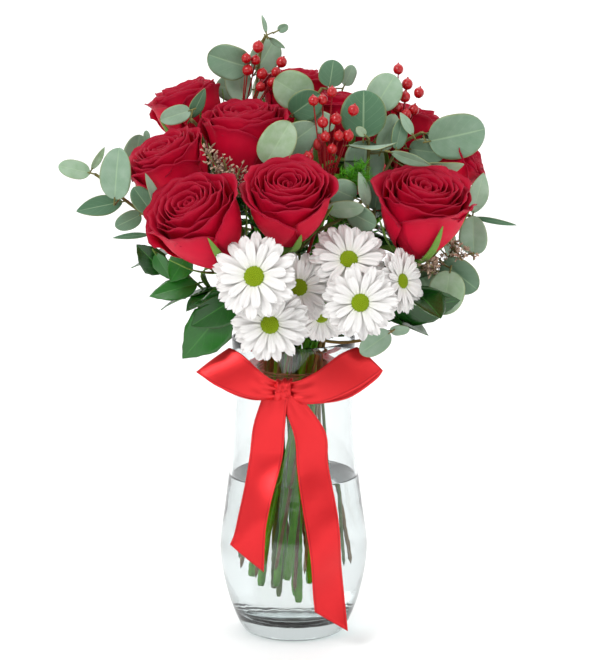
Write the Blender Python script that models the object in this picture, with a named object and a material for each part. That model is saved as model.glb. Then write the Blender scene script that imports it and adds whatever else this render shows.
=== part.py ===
"""Roses in a vase: a hand-tied bouquet standing in a clear glass vase with a ribbon bow.

Metres, +Z up, +X to the right, -Y to the front. The origin is the centre of the vase's foot.
The vase is a turned glass; the water, ribbon and tie follow its profile. Every flower and twig
stands on its own stem, which runs straight and skewed through the tie, so the stems fan out
above and below it and never cross. Heads and leaves slide in depth until they are clear of
what is already there, and stems bow around the heads in their way.
"""
import math

import bpy
from mathutils import Matrix, Vector
from mathutils.bvhtree import BVHTree

# ---------------------------------------------------------------- driving dimensions (metres)
MM = 0.001
GAP = 0.0003                  # left between pieces that touch

VASE_HEIGHT = 0.235
FOOT_RADIUS = 0.036
BELLY_RADIUS = 0.0575
BELLY_HEIGHT = 0.072
NECK_RADIUS = 0.0467
NECK_BELOW_RIM = 0.035
RIM_RADIUS = 0.0478
WALL = 0.0025
BASE_THICKNESS = 0.014
BASE_ROUND = 0.012            # how much narrower the inside floor is than the wall above it
WATER_DEPTH = 0.112

TIE_BELOW_RIM = 0.026
TWINE_DIAMETER = 0.0026
TWINE_TURNS = 3

RIBBON_WIDTH = 0.025
RIBBON_THICKNESS = 0.0012
BAND_BELOW_RIM = 0.033
BAND_HEIGHT = 0.012
KNOT_WIDTH = 0.014
KNOT_HEIGHT = 0.018
KNOT_DEPTH = 0.012
KNOT_ABOVE_BAND = 0.003       # between their middles
KNOT_ASIDE = 0.008            # how far the knot sits to the left of the vase's middle
LEFT_LOOP_REACH = 0.066       # sideways from the knot's middle to a loop's tip
RIGHT_LOOP_REACH = 0.076
LOOP_LIFT = 0.014             # how much higher a loop's wide part is than the knot
LOOP_HEIGHT = 0.032
LOOP_DEPTH = 0.012
LOOP_BACK = 0.004             # how far back a loop's tip lies from the knot
LEFT_TAIL_END = 0.076         # height of each tail's end above the foot
RIGHT_TAIL_END = 0.027
TAIL_STANDOFF = 0.0016        # from the glass to a tail's back

ROSE_DIAMETER = 0.066
ROSE_STEM = 0.0052            # stem diameters
SPRAY_STEM = 0.0040
TWIG = 0.0026
PETIOLE = 0.0011
LEAF_THICKNESS = 0.0011
LEAF_STUB = 0.004             # the petiole's flat start, behind the blade
DAISY_DIAMETER = 0.058
POD_LENGTH = 0.0095
POD_DIAMETER = 0.0082
STALK = 0.0010

STEM_SPACING = 0.0066         # between neighbouring stems at the tie
SUNFLOWER = 1.62              # stem spacing against the pattern's own unit
STEM_TURN = -36               # degrees round the axis between a stem's place and its flower's
FLOWER_REACH = 0.15           # how far out the outermost stems' flowers stand
STEM_LEAVES_TIE = 0.027       # above the tie, where a stem starts to bend to its flower
SHORTEST_CUT = 0.012          # lowest stem end above the vase's inner floor
LONGEST_CUT = 0.045           # highest stem end above the vase's inner floor
STEM_WALL_CLEARANCE = 0.002

ROUND = 24                    # sides of the vase and of what follows it
RIM_Z = VASE_HEIGHT
TIE_Z = RIM_Z - TIE_BELOW_RIM
NECK_Z = RIM_Z - NECK_BELOW_RIM
BAND_Z = RIM_Z - BAND_BELOW_RIM
FRONT = Vector((0.0, -1.0, 0.0))

# ---------------------------------------------------------------- the bouquet's layout
# Places are millimetres: right, back, and up from the middle of the vase's rim.
# A rose: place of its middle, the way it faces, and its size against ROSE_DIAMETER.
ROSES = [
    ((-4, -78, 114), (0.02, -0.50, 0.87), 1.00),
    ((-67, -84, 100), (-0.42, -0.45, 0.79), 1.08),
    ((-90, -32, 132), (-0.42, -0.22, 0.88), 0.96),
    ((-80, 30, 168), (-0.30, 0.05, 0.95), 0.86),
    ((-36, -8, 152), (-0.08, -0.14, 0.98), 1.00),
    ((96, -52, 104), (0.16, -0.38, 0.91), 1.06),
    ((122, 8, 133), (0.86, -0.10, 0.50), 0.72),
    ((0, 50, 178), (0.02, 0.05, 1.00), 0.80),
    ((42, 26, 163), (0.08, 0.02, 1.00), 0.80),
    ((88, 48, 150), (0.25, 0.10, 0.96), 0.80),
    ((-52, 84, 130), (-0.35, 0.70, 0.62), 0.98),
    ((40, 90, 122), (0.30, 0.72, 0.62), 1.00),
]

# A daisy: place of its middle, the way it faces, its size against DAISY_DIAMETER, its spray.
DAISIES = [
    ((-28, -98, 69), (-0.20, -0.95, 0.25), 1.12, 0),
    ((-17, -105, 31), (-0.10, -0.98, -0.02), 1.02, 0),
    ((49, -104, 47), (0.15, -0.97, 0.10), 1.00, 1),
    ((41, -92, 75), (0.10, -0.86, 0.50), 1.00, 1),
    ((4, -84, 54), (0.05, -0.92, 0.35), 0.96, 0),
    ((80, -68, 58), (0.75, -0.62, 0.20), 0.84, 1),
    ((21, -80, 30), (0.12, -0.80, -0.55), 0.70, 0),
]
SPRAY_FORKS = [(-6, -52, 20), (36, -52, 28)]

# A berry sprig: where its stem forks, then the pods' places.
BERRIES = [
    ((-41, 37, 158), [(-27, 14, 223), (-36, 13, 215), (-29, 18, 213), (-35, 16, 205), (-24, 16, 202),
                     (-13, 16, 204), (-9, 18, 211), (-16, 14, 196), (-25, 12, 193)]),
    ((24, -40, 118), [(15, -46, 190), (29, -42, 196), (22, -40, 190), (45, -50, 183),
                      (22, -44, 173), (32, -42, 175), (24, -48, 163), (34, -50, 164), (41, -46, 163),
                      (18, -44, 156), (29, -50, 154), (11, -52, 148)]),
    ((80, 4, 140), [(80, 8, 207), (87, 10, 195), (96, 8, 189), (85, 4, 186), (73, 6, 183),
                    (79, 4, 178), (92, 6, 176), (86, 0, 173)]),
]

# A leaf: place of its middle, length, width, then in degrees the tip's direction seen from the
# front, how far the tip leans to the front, and the blade's roll about its length.
# A sprig: its twigs, the first from the bundle up and the others off it, then its leaves.
EUCALYPTUS = [
    ([[(-29, 40, 140), (-30, 38, 170), (-28, 33, 195), (-25, 24, 222), (-21, 18, 231)]],
     [((-22, 16, 240), 15, 4, 98, 5, 30), ((-8, 15, 237), 9, 7, 22, 10, 10),
      ((-13, 15, 225), 15, 5, -38, 5, 20), ((-49, 20, 211), 34, 28, 160, 8, -10),
      ((-22, 24, 213), 28, 24, 62, -8, 20), ((-42, 34, 192), 28, 22, 105, -10, -15),
      ((-46, 30, 186), 30, 22, 175, 20, 0)]),
    ([[(6, 14, 140), (10, 14, 172), (22, 8, 192)]],
     [((0, 2, 191), 36, 30, 150, 20, 10), ((29, 6, 203), 21, 20, 78, 0, 5),
      ((42, 12, 201), 17, 13, 70, -10, 30), ((9, -8, 181), 28, 24, 40, 15, 0),
      ((20, -8, 168), 26, 18, -8, 20, 0)]),
    ([[(56, -18, 118), (57, -15, 142), (57, -12, 164)]],
     [((53, -20, 175), 36, 35, 92, 0, 0), ((51, -28, 165), 10, 7, 130, 20, 0),
      ((60, -28, 163), 10, 7, 20, 20, 0), ((59, -26, 153), 36, 26, 0, 0, 82),
      ((54, -26, 138), 34, 30, -100, 15, 0), ((69, -2, 190), 30, 26, 60, -10, 0),
      ((72, -14, 160), 30, 18, 70, -10, 25), ((80, -6, 160), 24, 14, 80, -10, 30)]),
    ([[(64, -18, 120), (79, -14, 149), (91, -9, 157), (99, -8, 160)]],
     [((123, -2, 159), 44, 36, 14, 0, 8), ((101, -10, 146), 28, 20, -8, 15, 15),
      ((110, -22, 134), 38, 18, 6, 10, 40), ((87, -26, 146), 32, 10, -20, 10, 20),
      ((86, -13, 168), 20, 8, 116, 0, 20), ((107, -12, 159), 14, 4, -6, 0, 0)]),
    ([[(98, -26, 56), (120, -16, 84), (133, -12, 98)]],
     [((141, -11, 113), 33, 16, 74, 5, 15), ((153, -12, 93), 34, 5, -12, 5, 20),
      ((137, -22, 82), 32, 22, 95, 15, -10), ((119, -14, 76), 30, 14, 100, 10, 45),
      ((126, -32, 54), 34, 26, -40, 10, 10), ((116, -42, 43), 34, 28, -98, 10, 0),
      ((99, -40, 50), 22, 18, -60, 10, 20)]),
    ([[(50, -48, 6), (66, -54, 12)]],
     [((62, -62, 8), 28, 18, -150, 15, 0), ((80, -56, 16), 15, 9, 10, 10, 20)]),
    ([[(-84, -36, 76), (-104, -32, 94), (-131, -30, 114), (-143, -28, 126), (-150, -28, 131)],
      [(-116, -20, 102), (-121, 4, 122)]],
     [((-164, -30, 135), 26, 14, 168, 5, 15), ((-148, -25, 142), 20, 6, 62, 0, 20),
      ((-133, -32, 132), 42, 24, 86, 5, -15), ((-121, 6, 141), 30, 20, 75, -5, 20),
      ((-112, 2, 156), 8, 5, 90, 0, 0), ((-146, -37, 107), 36, 16, 188, 10, 25),
      ((-113, -38, 116), 24, 16, 120, 15, 10), ((-124, -42, 98), 22, 14, 200, 20, 0),
      ((-122, -42, 86), 28, 5, 186, 10, 20), ((-104, -52, 121), 34, 8, 112, 10, 30)]),
    ([[(-66, 12, 126), (-67, 8, 152), (-72, -2, 164), (-78, -9, 171)]],
     [((-89, -12, 174), 24, 14, 200, 10, 10), ((-73, -9, 181), 26, 11, 66, 5, 20)]),
    ([[(22, -40, 92), (40, -44, 102), (50, -46, 112), (56, -46, 118)],
      [(6, -34, 110), (-4, -40, 138)]],
     [((-12, -60, 158), 38, 27, 62, 5, -10), ((0, -68, 158), 40, 26, 34, 5, 10),
      ((53, -52, 123), 28, 10, 106, 5, 25), ((63, -46, 116), 26, 20, 88, 5, -15),
      ((37, -52, 121), 24, 22, 150, 20, 0), ((38, -62, 110), 30, 15, 4, 20, 20),
      ((51, -62, 103), 26, 18, -20, 30, 0)]),
    ([[(-4, 60, 90), (-10, 78, 130), (-14, 84, 160)],
      [(-30, 70, 70), (-70, 66, 84)],
      [(30, 70, 66), (78, 66, 96)]],
     [((-16, 84, 178), 38, 34, 96, -5, 170), ((10, 82, 160), 36, 32, 30, -5, 170),
      ((-30, 92, 106), 38, 32, -100, -10, 175), ((6, 98, 92), 36, 30, -60, -10, 175),
      ((-84, 72, 96), 38, 30, 160, -10, 160), ((-78, 80, 66), 36, 28, 215, -15, 170),
      ((-48, 84, 58), 34, 30, -110, -15, 180), ((96, 66, 110), 38, 32, 40, -10, -160),
      ((88, 72, 72), 36, 30, -40, -15, -165), ((52, 84, 54), 34, 28, -80, -15, 180)]),
]

GLOSSY = [
    ([[(-40, -44, 20), (-58, -46, 30), (-76, -44, 42)],
      [(-52, -46, 32), (-84, -40, 58)]],
     [((-66, -66, 17), 52, 36, -128, 5, -10), ((-58, -56, 34), 42, 30, -150, 10, 0),
      ((-90, -44, 46), 38, 18, 196, 5, 20), ((-108, -40, 68), 30, 20, 130, 5, 10),
      ((-98, -50, 64), 24, 14, -60, 10, 25), ((-86, -52, 64), 24, 20, -120, 10, 0)]),
    ([[(60, -44, 22), (76, -52, 32)]],
     [((98, -62, 35), 54, 34, 6, 5, 20), ((76, -30, 30), 40, 26, 20, 0, -20)]),
]

# A twiggy filler: its main stem, then its side twigs, each a start and an end.
FERN = ([(34, -42, 104), (42, -46, 128)],
        [((36, -44, 112), (28, -50, 126)), ((38, -44, 116), (36, -52, 136)),
         ((40, -45, 122), (46, -52, 140)), ((42, -46, 128), (54, -50, 142)),
         ((40, -45, 120), (56, -54, 134))])
LIMONIUM = [
    ([(-44, -48, 110), (-48, -56, 132)],
     [((-45, -50, 116), (-40, -62, 140)), ((-47, -54, 126), (-64, -62, 152)),
      ((-48, -56, 130), (-52, -64, 148)), ((-46, -52, 120), (-58, -64, 138))]),
    ([(112, -8, 44), (116, -30, 60)],
     [((113, -16, 48), (100, -62, 70)), ((115, -26, 56), (127, -58, 70)),
      ((116, -30, 60), (136, -48, 74)), ((114, -22, 52), (104, -54, 60))]),
]

# ---------------------------------------------------------------- materials


def material(name, rgb, roughness, metallic=0.0, transmission=0.0):
    mat = bpy.data.materials.new(name)
    mat.use_nodes = True
    shader = mat.node_tree.nodes["Principled BSDF"]
    shader.inputs["Base Color"].default_value = (*rgb, 1.0)
    shader.inputs["Roughness"].default_value = roughness
    shader.inputs["Metallic"].default_value = metallic
    shader.inputs["Transmission Weight"].default_value = transmission
    return mat


def make_materials():
    return {
        "glass": material("clear_glass", (0.95, 0.97, 0.97), 0.02, transmission=1.0),
        "water": material("water", (0.90, 0.95, 0.95), 0.02, transmission=1.0),
        "twine": material("twine", (0.20, 0.09, 0.04), 0.85),
        "ribbon": material("red_satin", (0.78, 0.05, 0.06), 0.35),
        "rose": material("rose_petal", (0.42, 0.004, 0.03), 0.60),
        "daisy": material("daisy_petal", (0.90, 0.89, 0.91), 0.55),
        "berry": material("berry_skin", (0.55, 0.02, 0.02), 0.35),
        "stem": material("green_stem", (0.09, 0.17, 0.04), 0.50),
        "eucalyptus": material("eucalyptus_leaf", (0.16, 0.27, 0.19), 0.60),
        "glossy": material("glossy_leaf", (0.02, 0.08, 0.03), 0.30),
        "fern": material("fern_green", (0.08, 0.28, 0.03), 0.60),
        "dried": material("dried_twig", (0.30, 0.20, 0.13), 0.80),
    }


# ---------------------------------------------------------------- small shapes


def nearest_on(points, target):
    """The nearest point on a polyline."""
    best = points[0]
    for a, b in zip(points, points[1:]):
        run = b - a
        ratio = max(0.0, min(1.0, (target - a).dot(run) / run.length_squared))
        spot = a.lerp(b, ratio)
        if (spot - target).length < (best - target).length:
            best = spot
    return best


def bezier(a, b, c, d, steps):
    """Points along a cubic curve, both ends included."""
    found = []
    for i in range(steps + 1):
        t = i / steps
        s = 1.0 - t
        found.append(a * s**3 + b * 3 * s * s * t + c * 3 * s * t * t + d * t**3)
    return found


def smooth_line(points, steps):
    """A curve through the points, with a few steps between each two."""
    ends = [points[0] * 2 - points[1]] + points + [points[-1] * 2 - points[-2]]
    found = [points[0]]
    for p, a, b, n in zip(ends, ends[1:], ends[2:], ends[3:]):
        found += bezier(a, a + (b - p) / 6, b - (n - a) / 6, b, steps)[1:]
    return found


def facing(direction, place):
    """A frame at a place whose +Z looks along a direction."""
    axis = Vector(direction).normalized()
    turn = Vector((0.0, 0.0, 1.0)).rotation_difference(axis)
    return Matrix.Translation(place) @ turn.to_matrix().to_4x4()


def lathe(outline, sides, frame=Matrix(), hollow=False):
    """A turned solid. The outline runs up the outside as (radius, height). A hollow one is a
    closed outline all round; any other is closed by a flat face at each end."""
    corners, faces = [], []
    for radius, height in outline:
        for i in range(sides):
            turn = math.tau * i / sides
            spot = Vector((radius * math.cos(turn), radius * math.sin(turn), height))
            corners.append(frame @ spot)
    rings = len(outline)
    for ring in range(rings if hollow else rings - 1):
        low, high = ring * sides, (ring + 1) % rings * sides
        for i in range(sides):
            j = (i + 1) % sides
            faces.append((low + i, low + j, high + j, high + i))
    if not hollow:
        faces.append(tuple(reversed(range(sides))))
        faces.append(tuple(range((rings - 1) * sides, rings * sides)))
    return corners, faces


def tube(points, diameter, sides):
    """A round bar along a line, with flat ends."""
    corners, faces = [], []
    tangent = (points[1] - points[0]).normalized()
    side = tangent.orthogonal().normalized()
    for k, point in enumerate(points):
        before = points[max(k - 1, 0)]
        after = points[min(k + 1, len(points) - 1)]
        bend = (after - before).normalized()
        side = tangent.rotation_difference(bend) @ side
        tangent = bend
        other = tangent.cross(side)
        for i in range(sides):
            turn = math.tau * i / sides
            spoke = side * math.cos(turn) + other * math.sin(turn)
            corners.append(point + spoke * diameter / 2)
    for k in range(len(points) - 1):
        for i in range(sides):
            j = (i + 1) % sides
            low, high = k * sides, (k + 1) * sides
            faces.append((low + i, low + j, high + j, high + i))
    last = (len(points) - 1) * sides
    faces.append(tuple(reversed(range(sides))))
    faces.append(tuple(range(last, last + sides)))
    return corners, faces


def loft(sections):
    """A solid through cross-sections with equal counts of corners, flat at both ends."""
    count = len(sections[0])
    corners = [spot for section in sections for spot in section]
    faces = []
    for k in range(len(sections) - 1):
        for i in range(count):
            j = (i + 1) % count
            low, high = k * count, (k + 1) * count
            faces.append((low + i, low + j, high + j, high + i))
    last = (len(sections) - 1) * count
    faces.append(tuple(reversed(range(count))))
    faces.append(tuple(range(last, last + count)))
    return corners, faces


# ---------------------------------------------------------------- what is already in place


SKEW = Vector((0.31, 0.47, 0.83)).normalized()
RAY_STEP = 1e-6


class Placed:
    """The solids built so far, and the test that keeps a new one clear of them."""

    def __init__(self):
        self.solids = []

    def add(self, *shapes):
        for corners, faces in shapes:
            tree = BVHTree.FromPolygons(corners, faces)
            low = Vector([min(c[i] for c in corners) for i in range(3)])
            high = Vector([max(c[i] for c in corners) for i in range(3)])
            self.solids.append((tree, low, high, corners[0]))

    def clear(self, *shapes):
        for corners, faces in shapes:
            tree = BVHTree.FromPolygons(corners, faces)
            low = [min(c[i] for c in corners) for i in range(3)]
            high = [max(c[i] for c in corners) for i in range(3)]
            for other, o_low, o_high, o_corner in self.solids:
                if any(low[i] > o_high[i] or high[i] < o_low[i] for i in range(3)):
                    continue
                if tree.overlap(other) or inside(other, corners[0]) or inside(tree, o_corner):
                    return False
        return True


def inside(tree, point):
    """A ray out of a closed solid meets its skin an odd number of times."""
    hits = 0
    spot = tree.ray_cast(point, SKEW)[0]
    while spot is not None:
        hits += 1
        spot = tree.ray_cast(spot + SKEW * RAY_STEP, SKEW)[0]
    return hits % 2 == 1


PLACED = Placed()


def slides(reach, step):
    """Shifts in depth, the smallest first, to the front before the back."""
    found = [0.0]
    for i in range(1, int(reach / step) + 1):
        found += [-i * step, i * step]
    return [Vector((0.0, shift * MM, 0.0)) for shift in found]


# ---------------------------------------------------------------- objects


def add_object(name, shape, mat, smooth_angle=40.0):
    corners, faces = shape
    mesh = bpy.data.meshes.new(name)
    mesh.from_pydata([tuple(c) for c in corners], [], faces)
    mesh.materials.append(mat)
    mesh.shade_smooth()
    mesh.set_sharp_from_angle(angle=math.radians(smooth_angle))
    mesh.validate()
    made = bpy.data.objects.new(name, mesh)
    bpy.context.scene.collection.objects.link(made)
    return made


def shape_cutters(name, shapes, mat):
    """Hidden solids in a collection of their own, for a Boolean."""
    group = bpy.data.collections.new(name)
    bpy.context.scene.collection.children.link(group)
    for k, shape in enumerate(shapes):
        cutter = add_object(f"{name}_{k}", shape, mat)
        bpy.context.scene.collection.objects.unlink(cutter)
        group.objects.link(cutter)
        cutter.hide_render = True
        cutter.display_type = "WIRE"
    return group


def bake_boolean(body, group, operation):
    """Applies the Boolean, so the body keeps one plain mesh, and drops its cutters."""
    modifier = body.modifiers.new(operation.lower(), "BOOLEAN")
    modifier.operation = operation
    modifier.solver = "EXACT"
    modifier.operand_type = "COLLECTION"
    modifier.collection = group
    graph = bpy.context.evaluated_depsgraph_get()
    mesh = bpy.data.meshes.new_from_object(body.evaluated_get(graph))
    body.modifiers.clear()
    body.data = mesh
    mesh.name = body.name
    for cutter in list(group.objects):
        bpy.data.objects.remove(cutter)
    bpy.data.collections.remove(group)


def add_joined(name, shapes, mat):
    """One object grown together from overlapping closed shapes."""
    body = add_object(name, shapes[0], mat)
    if len(shapes) > 1:
        group = shape_cutters(name + "_part", shapes[1:], mat)
        bake_boolean(body, group, "UNION")
    return body


# ---------------------------------------------------------------- vase, water, tie


def vase_radius(z):
    """The glass's outer radius at a height."""
    if z <= BELLY_HEIGHT:
        u = z / BELLY_HEIGHT
        rise = (math.sin(u * math.pi / 2) + math.sqrt(max(0.0, 1 - (1 - u) ** 2))) / 2
        return FOOT_RADIUS + (BELLY_RADIUS - FOOT_RADIUS) * rise
    if z <= NECK_Z:
        v = ((z - BELLY_HEIGHT) / (NECK_Z - BELLY_HEIGHT)) ** 0.62
        return NECK_RADIUS + (BELLY_RADIUS - NECK_RADIUS) * (1 + math.cos(math.pi * v)) / 2
    v = (z - NECK_Z) / NECK_BELOW_RIM
    return RIM_RADIUS + (NECK_RADIUS - RIM_RADIUS) * (1 + math.cos(math.pi * v)) / 2


def inner_radius(z):
    """The glass's inner radius at a height; the floor's corner is rounded."""
    above = min(1.0, (z - BASE_THICKNESS) / BASE_ROUND)
    corner = BASE_ROUND * (1 - math.sqrt(max(0.0, 1 - (1 - above) ** 2)))
    return vase_radius(z) - WALL - corner


def heights(low, high, count):
    return [low + (high - low) * i / count for i in range(count + 1)]


def inner_outline():
    """The inside of the glass, from its floor up."""
    floor = BASE_THICKNESS
    levels = [floor, floor + BASE_ROUND / 3, floor + BASE_ROUND, (floor + BELLY_HEIGHT) / 2]
    levels += heights(BELLY_HEIGHT, NECK_Z, 4)
    return [(inner_radius(z), z) for z in levels] + [(RIM_RADIUS - WALL, RIM_Z)]


def inner_chord(z):
    """The inside radius at a height, on the straight line between two rings of the glass."""
    outline = inner_outline()
    for (r0, z0), (r1, z1) in zip(outline, outline[1:]):
        if z0 <= z <= z1:
            return r0 + (r1 - r0) * (z - z0) / (z1 - z0)
    return outline[-1][0]


def make_vase(mats):
    shares = (0.0, 0.05, 0.17, 0.40, 0.70, 1.0)
    outer = [(vase_radius(share * BELLY_HEIGHT), share * BELLY_HEIGHT) for share in shares]
    outer += [(vase_radius(z), z) for z in heights(BELLY_HEIGHT, NECK_Z, 4)[1:]]
    outer.append((RIM_RADIUS, RIM_Z))
    shape = lathe(outer + inner_outline()[::-1], ROUND)
    add_object("vase", shape, mats["glass"])
    PLACED.add(shape)


def make_water(mats, stems):
    top = BASE_THICKNESS + WATER_DEPTH
    levels = [z for _radius, z in inner_outline()[1:] if z < top]
    levels = [BASE_THICKNESS + GAP] + levels + [top]
    outline = [(inner_chord(z) - 2 * GAP, z) for z in levels]
    body = add_object("water", lathe(outline, ROUND), mats["water"])
    holes = [tube(line, diameter + 3 * GAP, sides) for line, diameter, sides in stems]
    bake_boolean(body, shape_cutters("stem_hole", holes, mats["water"]), "DIFFERENCE")


def bundle_radius(count):
    return STEM_SPACING / SUNFLOWER * math.sqrt(count)


def make_tie(mats, count):
    """Twine wound round the stems, drawn as one ring with a bulge for each turn."""
    hole = bundle_radius(count) + ROSE_STEM / 2 + 5 * GAP
    half = TWINE_TURNS * TWINE_DIAMETER / 2
    low = TIE_Z - half
    outer = [(hole + TWINE_DIAMETER * 0.45, low)]
    for k in range(TWINE_TURNS):
        outer.append((hole + TWINE_DIAMETER, low + TWINE_DIAMETER * (k + 0.5)))
        outer.append((hole + TWINE_DIAMETER * 0.45, low + TWINE_DIAMETER * (k + 1)))
    outline = outer + [(hole, TIE_Z + half), (hole, low)]
    shape = lathe(outline, 16, hollow=True)
    add_object("twine_tie", shape, mats["twine"])
    PLACED.add(shape)


# ---------------------------------------------------------------- ribbon


def make_band(mats):
    low, high = BAND_Z - BAND_HEIGHT / 2, BAND_Z + BAND_HEIGHT / 2
    levels = heights(low, high, 1)
    back = [(vase_radius(z) + 2 * GAP, z) for z in levels]
    front = [(r + RIBBON_THICKNESS, z) for r, z in back]
    shape = lathe(front + back[::-1], ROUND, hollow=True)
    add_object("ribbon_band", shape, mats["ribbon"])
    PLACED.add(shape)


def knot_middle():
    out = vase_radius(BAND_Z) + RIBBON_THICKNESS + 4 * GAP + KNOT_DEPTH / 2
    return Vector((-KNOT_ASIDE, -out, BAND_Z + KNOT_ABOVE_BAND))


def box_section(middle, half_width, half_height, axis_u, axis_v):
    """Eight corners of a rounded rectangle."""
    cut = 0.6
    return [middle + axis_u * (half_width * u) + axis_v * (half_height * v)
            for u, v in ((-1, -cut), (-cut, -1), (cut, -1), (1, -cut),
                         (1, cut), (cut, 1), (-cut, 1), (-1, cut))]


def make_knot(mats):
    middle = knot_middle()
    right, up = Vector((1, 0, 0)), Vector((0, 0, 1))
    sections = []
    for share, size in ((-0.5, 0.7), (-0.2, 1.0), (0.2, 1.0), (0.5, 0.7)):
        place = middle + FRONT * (KNOT_DEPTH * share)
        sections.append(box_section(place, KNOT_WIDTH / 2 * size, KNOT_HEIGHT / 2 * size,
                                    right, up))
    shape = loft(sections)
    add_object("ribbon_knot", shape, mats["ribbon"])
    PLACED.add(shape)


def make_loop(mats, name, side, tip):
    """A bow's loop, a flattened pouch that widens and rises away from the knot."""
    middle = knot_middle()
    start = KNOT_WIDTH / 2 + GAP
    sections = []
    for share, size, rise in ((0.0, 0.36, 0.0), (0.35, 0.74, 0.55), (0.7, 1.0, 1.0),
                              (0.92, 0.86, 1.0), (1.0, 0.5, 0.95)):
        reach = start + (tip - start) * share
        place = middle + Vector((side * reach, LOOP_BACK * share, LOOP_LIFT * rise))
        sections.append(box_section(place, LOOP_DEPTH / 2 * max(size, 0.5),
                                    LOOP_HEIGHT / 2 * size, FRONT * -side, Vector((0, 0, 1))))
    shape = loft(sections)
    add_object(name, shape, mats["ribbon"])
    PLACED.add(shape)


def tail_distance(z, top, from_knot):
    """How far from the vase's axis a hanging tail lies: straight down from the knot, over the
    belly and then plumb."""
    over_belly = BELLY_RADIUS + TAIL_STANDOFF
    if z <= BELLY_HEIGHT:
        return over_belly
    drop = (top - z) / (top - BELLY_HEIGHT)
    straight = from_knot + (over_belly - from_knot) * drop
    return max(straight, vase_radius(z) + TAIL_STANDOFF)


def make_tail(mats, name, start_turn, end_turn, end_z):
    """A bow's tail, hanging over the vase's front between two bearings round its axis."""
    top = knot_middle().z - KNOT_HEIGHT / 2 - GAP
    from_knot = -knot_middle().y
    sections = []
    for z in heights(top, end_z, 7):
        share = (top - z) / (top - end_z)
        turn = math.radians(start_turn + (end_turn - start_turn) * share)
        out = Vector((math.sin(turn), -math.cos(turn), 0))
        across = Vector((math.cos(turn), math.sin(turn), 0))
        half = RIBBON_WIDTH / 2 * min(1.0, 0.5 + 4 * share)
        near = tail_distance(z, top, from_knot)
        back, front = out * near, out * (near + RIBBON_THICKNESS)
        lift = Vector((0, 0, z))
        sections.append([back - across * half + lift, back + across * half + lift,
                         front + across * half + lift, front - across * half + lift])
    shape = loft(sections)
    add_object(name, shape, mats["ribbon"])
    PLACED.add(shape)


def make_ribbon(mats):
    make_band(mats)
    make_knot(mats)
    make_loop(mats, "ribbon_loop_left", -1, LEFT_LOOP_REACH)
    make_loop(mats, "ribbon_loop_right", 1, RIGHT_LOOP_REACH)
    make_tail(mats, "ribbon_tail_left", -16, -36, LEFT_TAIL_END)
    make_tail(mats, "ribbon_tail_right", 10, 27, RIGHT_TAIL_END)


# ---------------------------------------------------------------- heads


def from_rim(place):
    """A place given in millimetres from the rim's middle."""
    return Vector(place) * MM + Vector((0, 0, RIM_Z))


def rose_outline(diameter):
    """A bloom from its base to the flat bottom of the dish in its top."""
    shares = ((0.13, 0.0), (0.30, 0.10), (0.43, 0.34), (0.48, 0.62), (0.47, 0.86),
              (0.38, 0.94), (0.20, 0.88))
    return [(r * diameter, h * diameter) for r, h in shares]


def daisy_outline(diameter):
    """A head from behind: calyx, the petals' shallow cone, and the flat top of its disc."""
    return [(0.06 * diameter, -0.12 * diameter), (0.13 * diameter, -0.07 * diameter),
            (0.46 * diameter, 0.0), (0.46 * diameter, 0.02 * diameter),
            (0.15 * diameter, 0.02 * diameter), (0.09 * diameter, 0.07 * diameter)]


def place_head(name, middle, direction, outline, sides, lift, mat):
    """Puts a head where it is clear; gives the frame at its base."""
    grown = [(r + 2 * GAP, h) for r, h in outline]
    frames = [facing(direction, middle + shift) @ Matrix.Translation((0, 0, lift))
              for shift in slides(24, 2)]
    frame = next((f for f in frames if PLACED.clear(lathe(grown, sides, f))), None)
    if frame is None:
        print("no clear place for", name)
        frame = frames[0]
    shape = lathe(outline, sides, frame)
    add_object(name, shape, mat)
    PLACED.add(shape)
    return frame


# ---------------------------------------------------------------- stems


class Bundle:
    """The stems' places at the tie, in a sunflower pattern, and the spiral that they make."""

    def __init__(self, count):
        self.free = []
        for i in range(count):
            radius = STEM_SPACING / SUNFLOWER * math.sqrt(i + 0.5)
            turn = i * math.pi * (3 - math.sqrt(5))
            self.free.append(Vector((radius * math.cos(turn), radius * math.sin(turn), 0)))
        self.reach = bundle_radius(count)
        low = BASE_THICKNESS + SHORTEST_CUT
        room = min(inner_radius(low), inner_radius(BASE_THICKNESS + LONGEST_CUT))
        room -= ROSE_STEM / 2 + STEM_WALL_CLEARANCE
        spread = room / self.reach
        self.spiral = math.sqrt(spread * spread - 1) / (TIE_Z - low)

    def take(self, place):
        """The free place that suits a flower."""
        turn = Matrix.Rotation(math.radians(STEM_TURN), 3, "Z")
        wish = turn @ Vector((place.x, place.y, 0)) * (self.reach / FLOWER_REACH)
        slot = min(self.free, key=lambda spot: (spot - wish).length)
        self.free.remove(slot)
        return slot

    def at(self, slot, rise):
        """The stem's middle line, straight and skewed through the tie."""
        skew = self.spiral * rise
        return Vector((slot.x - skew * slot.y, slot.y + skew * slot.x, TIE_Z + rise))

    def cut_end(self, slot):
        share = slot.length / self.reach
        low = BASE_THICKNESS + SHORTEST_CUT + (LONGEST_CUT - SHORTEST_CUT) * share
        return self.at(slot, low - TIE_Z)


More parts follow.
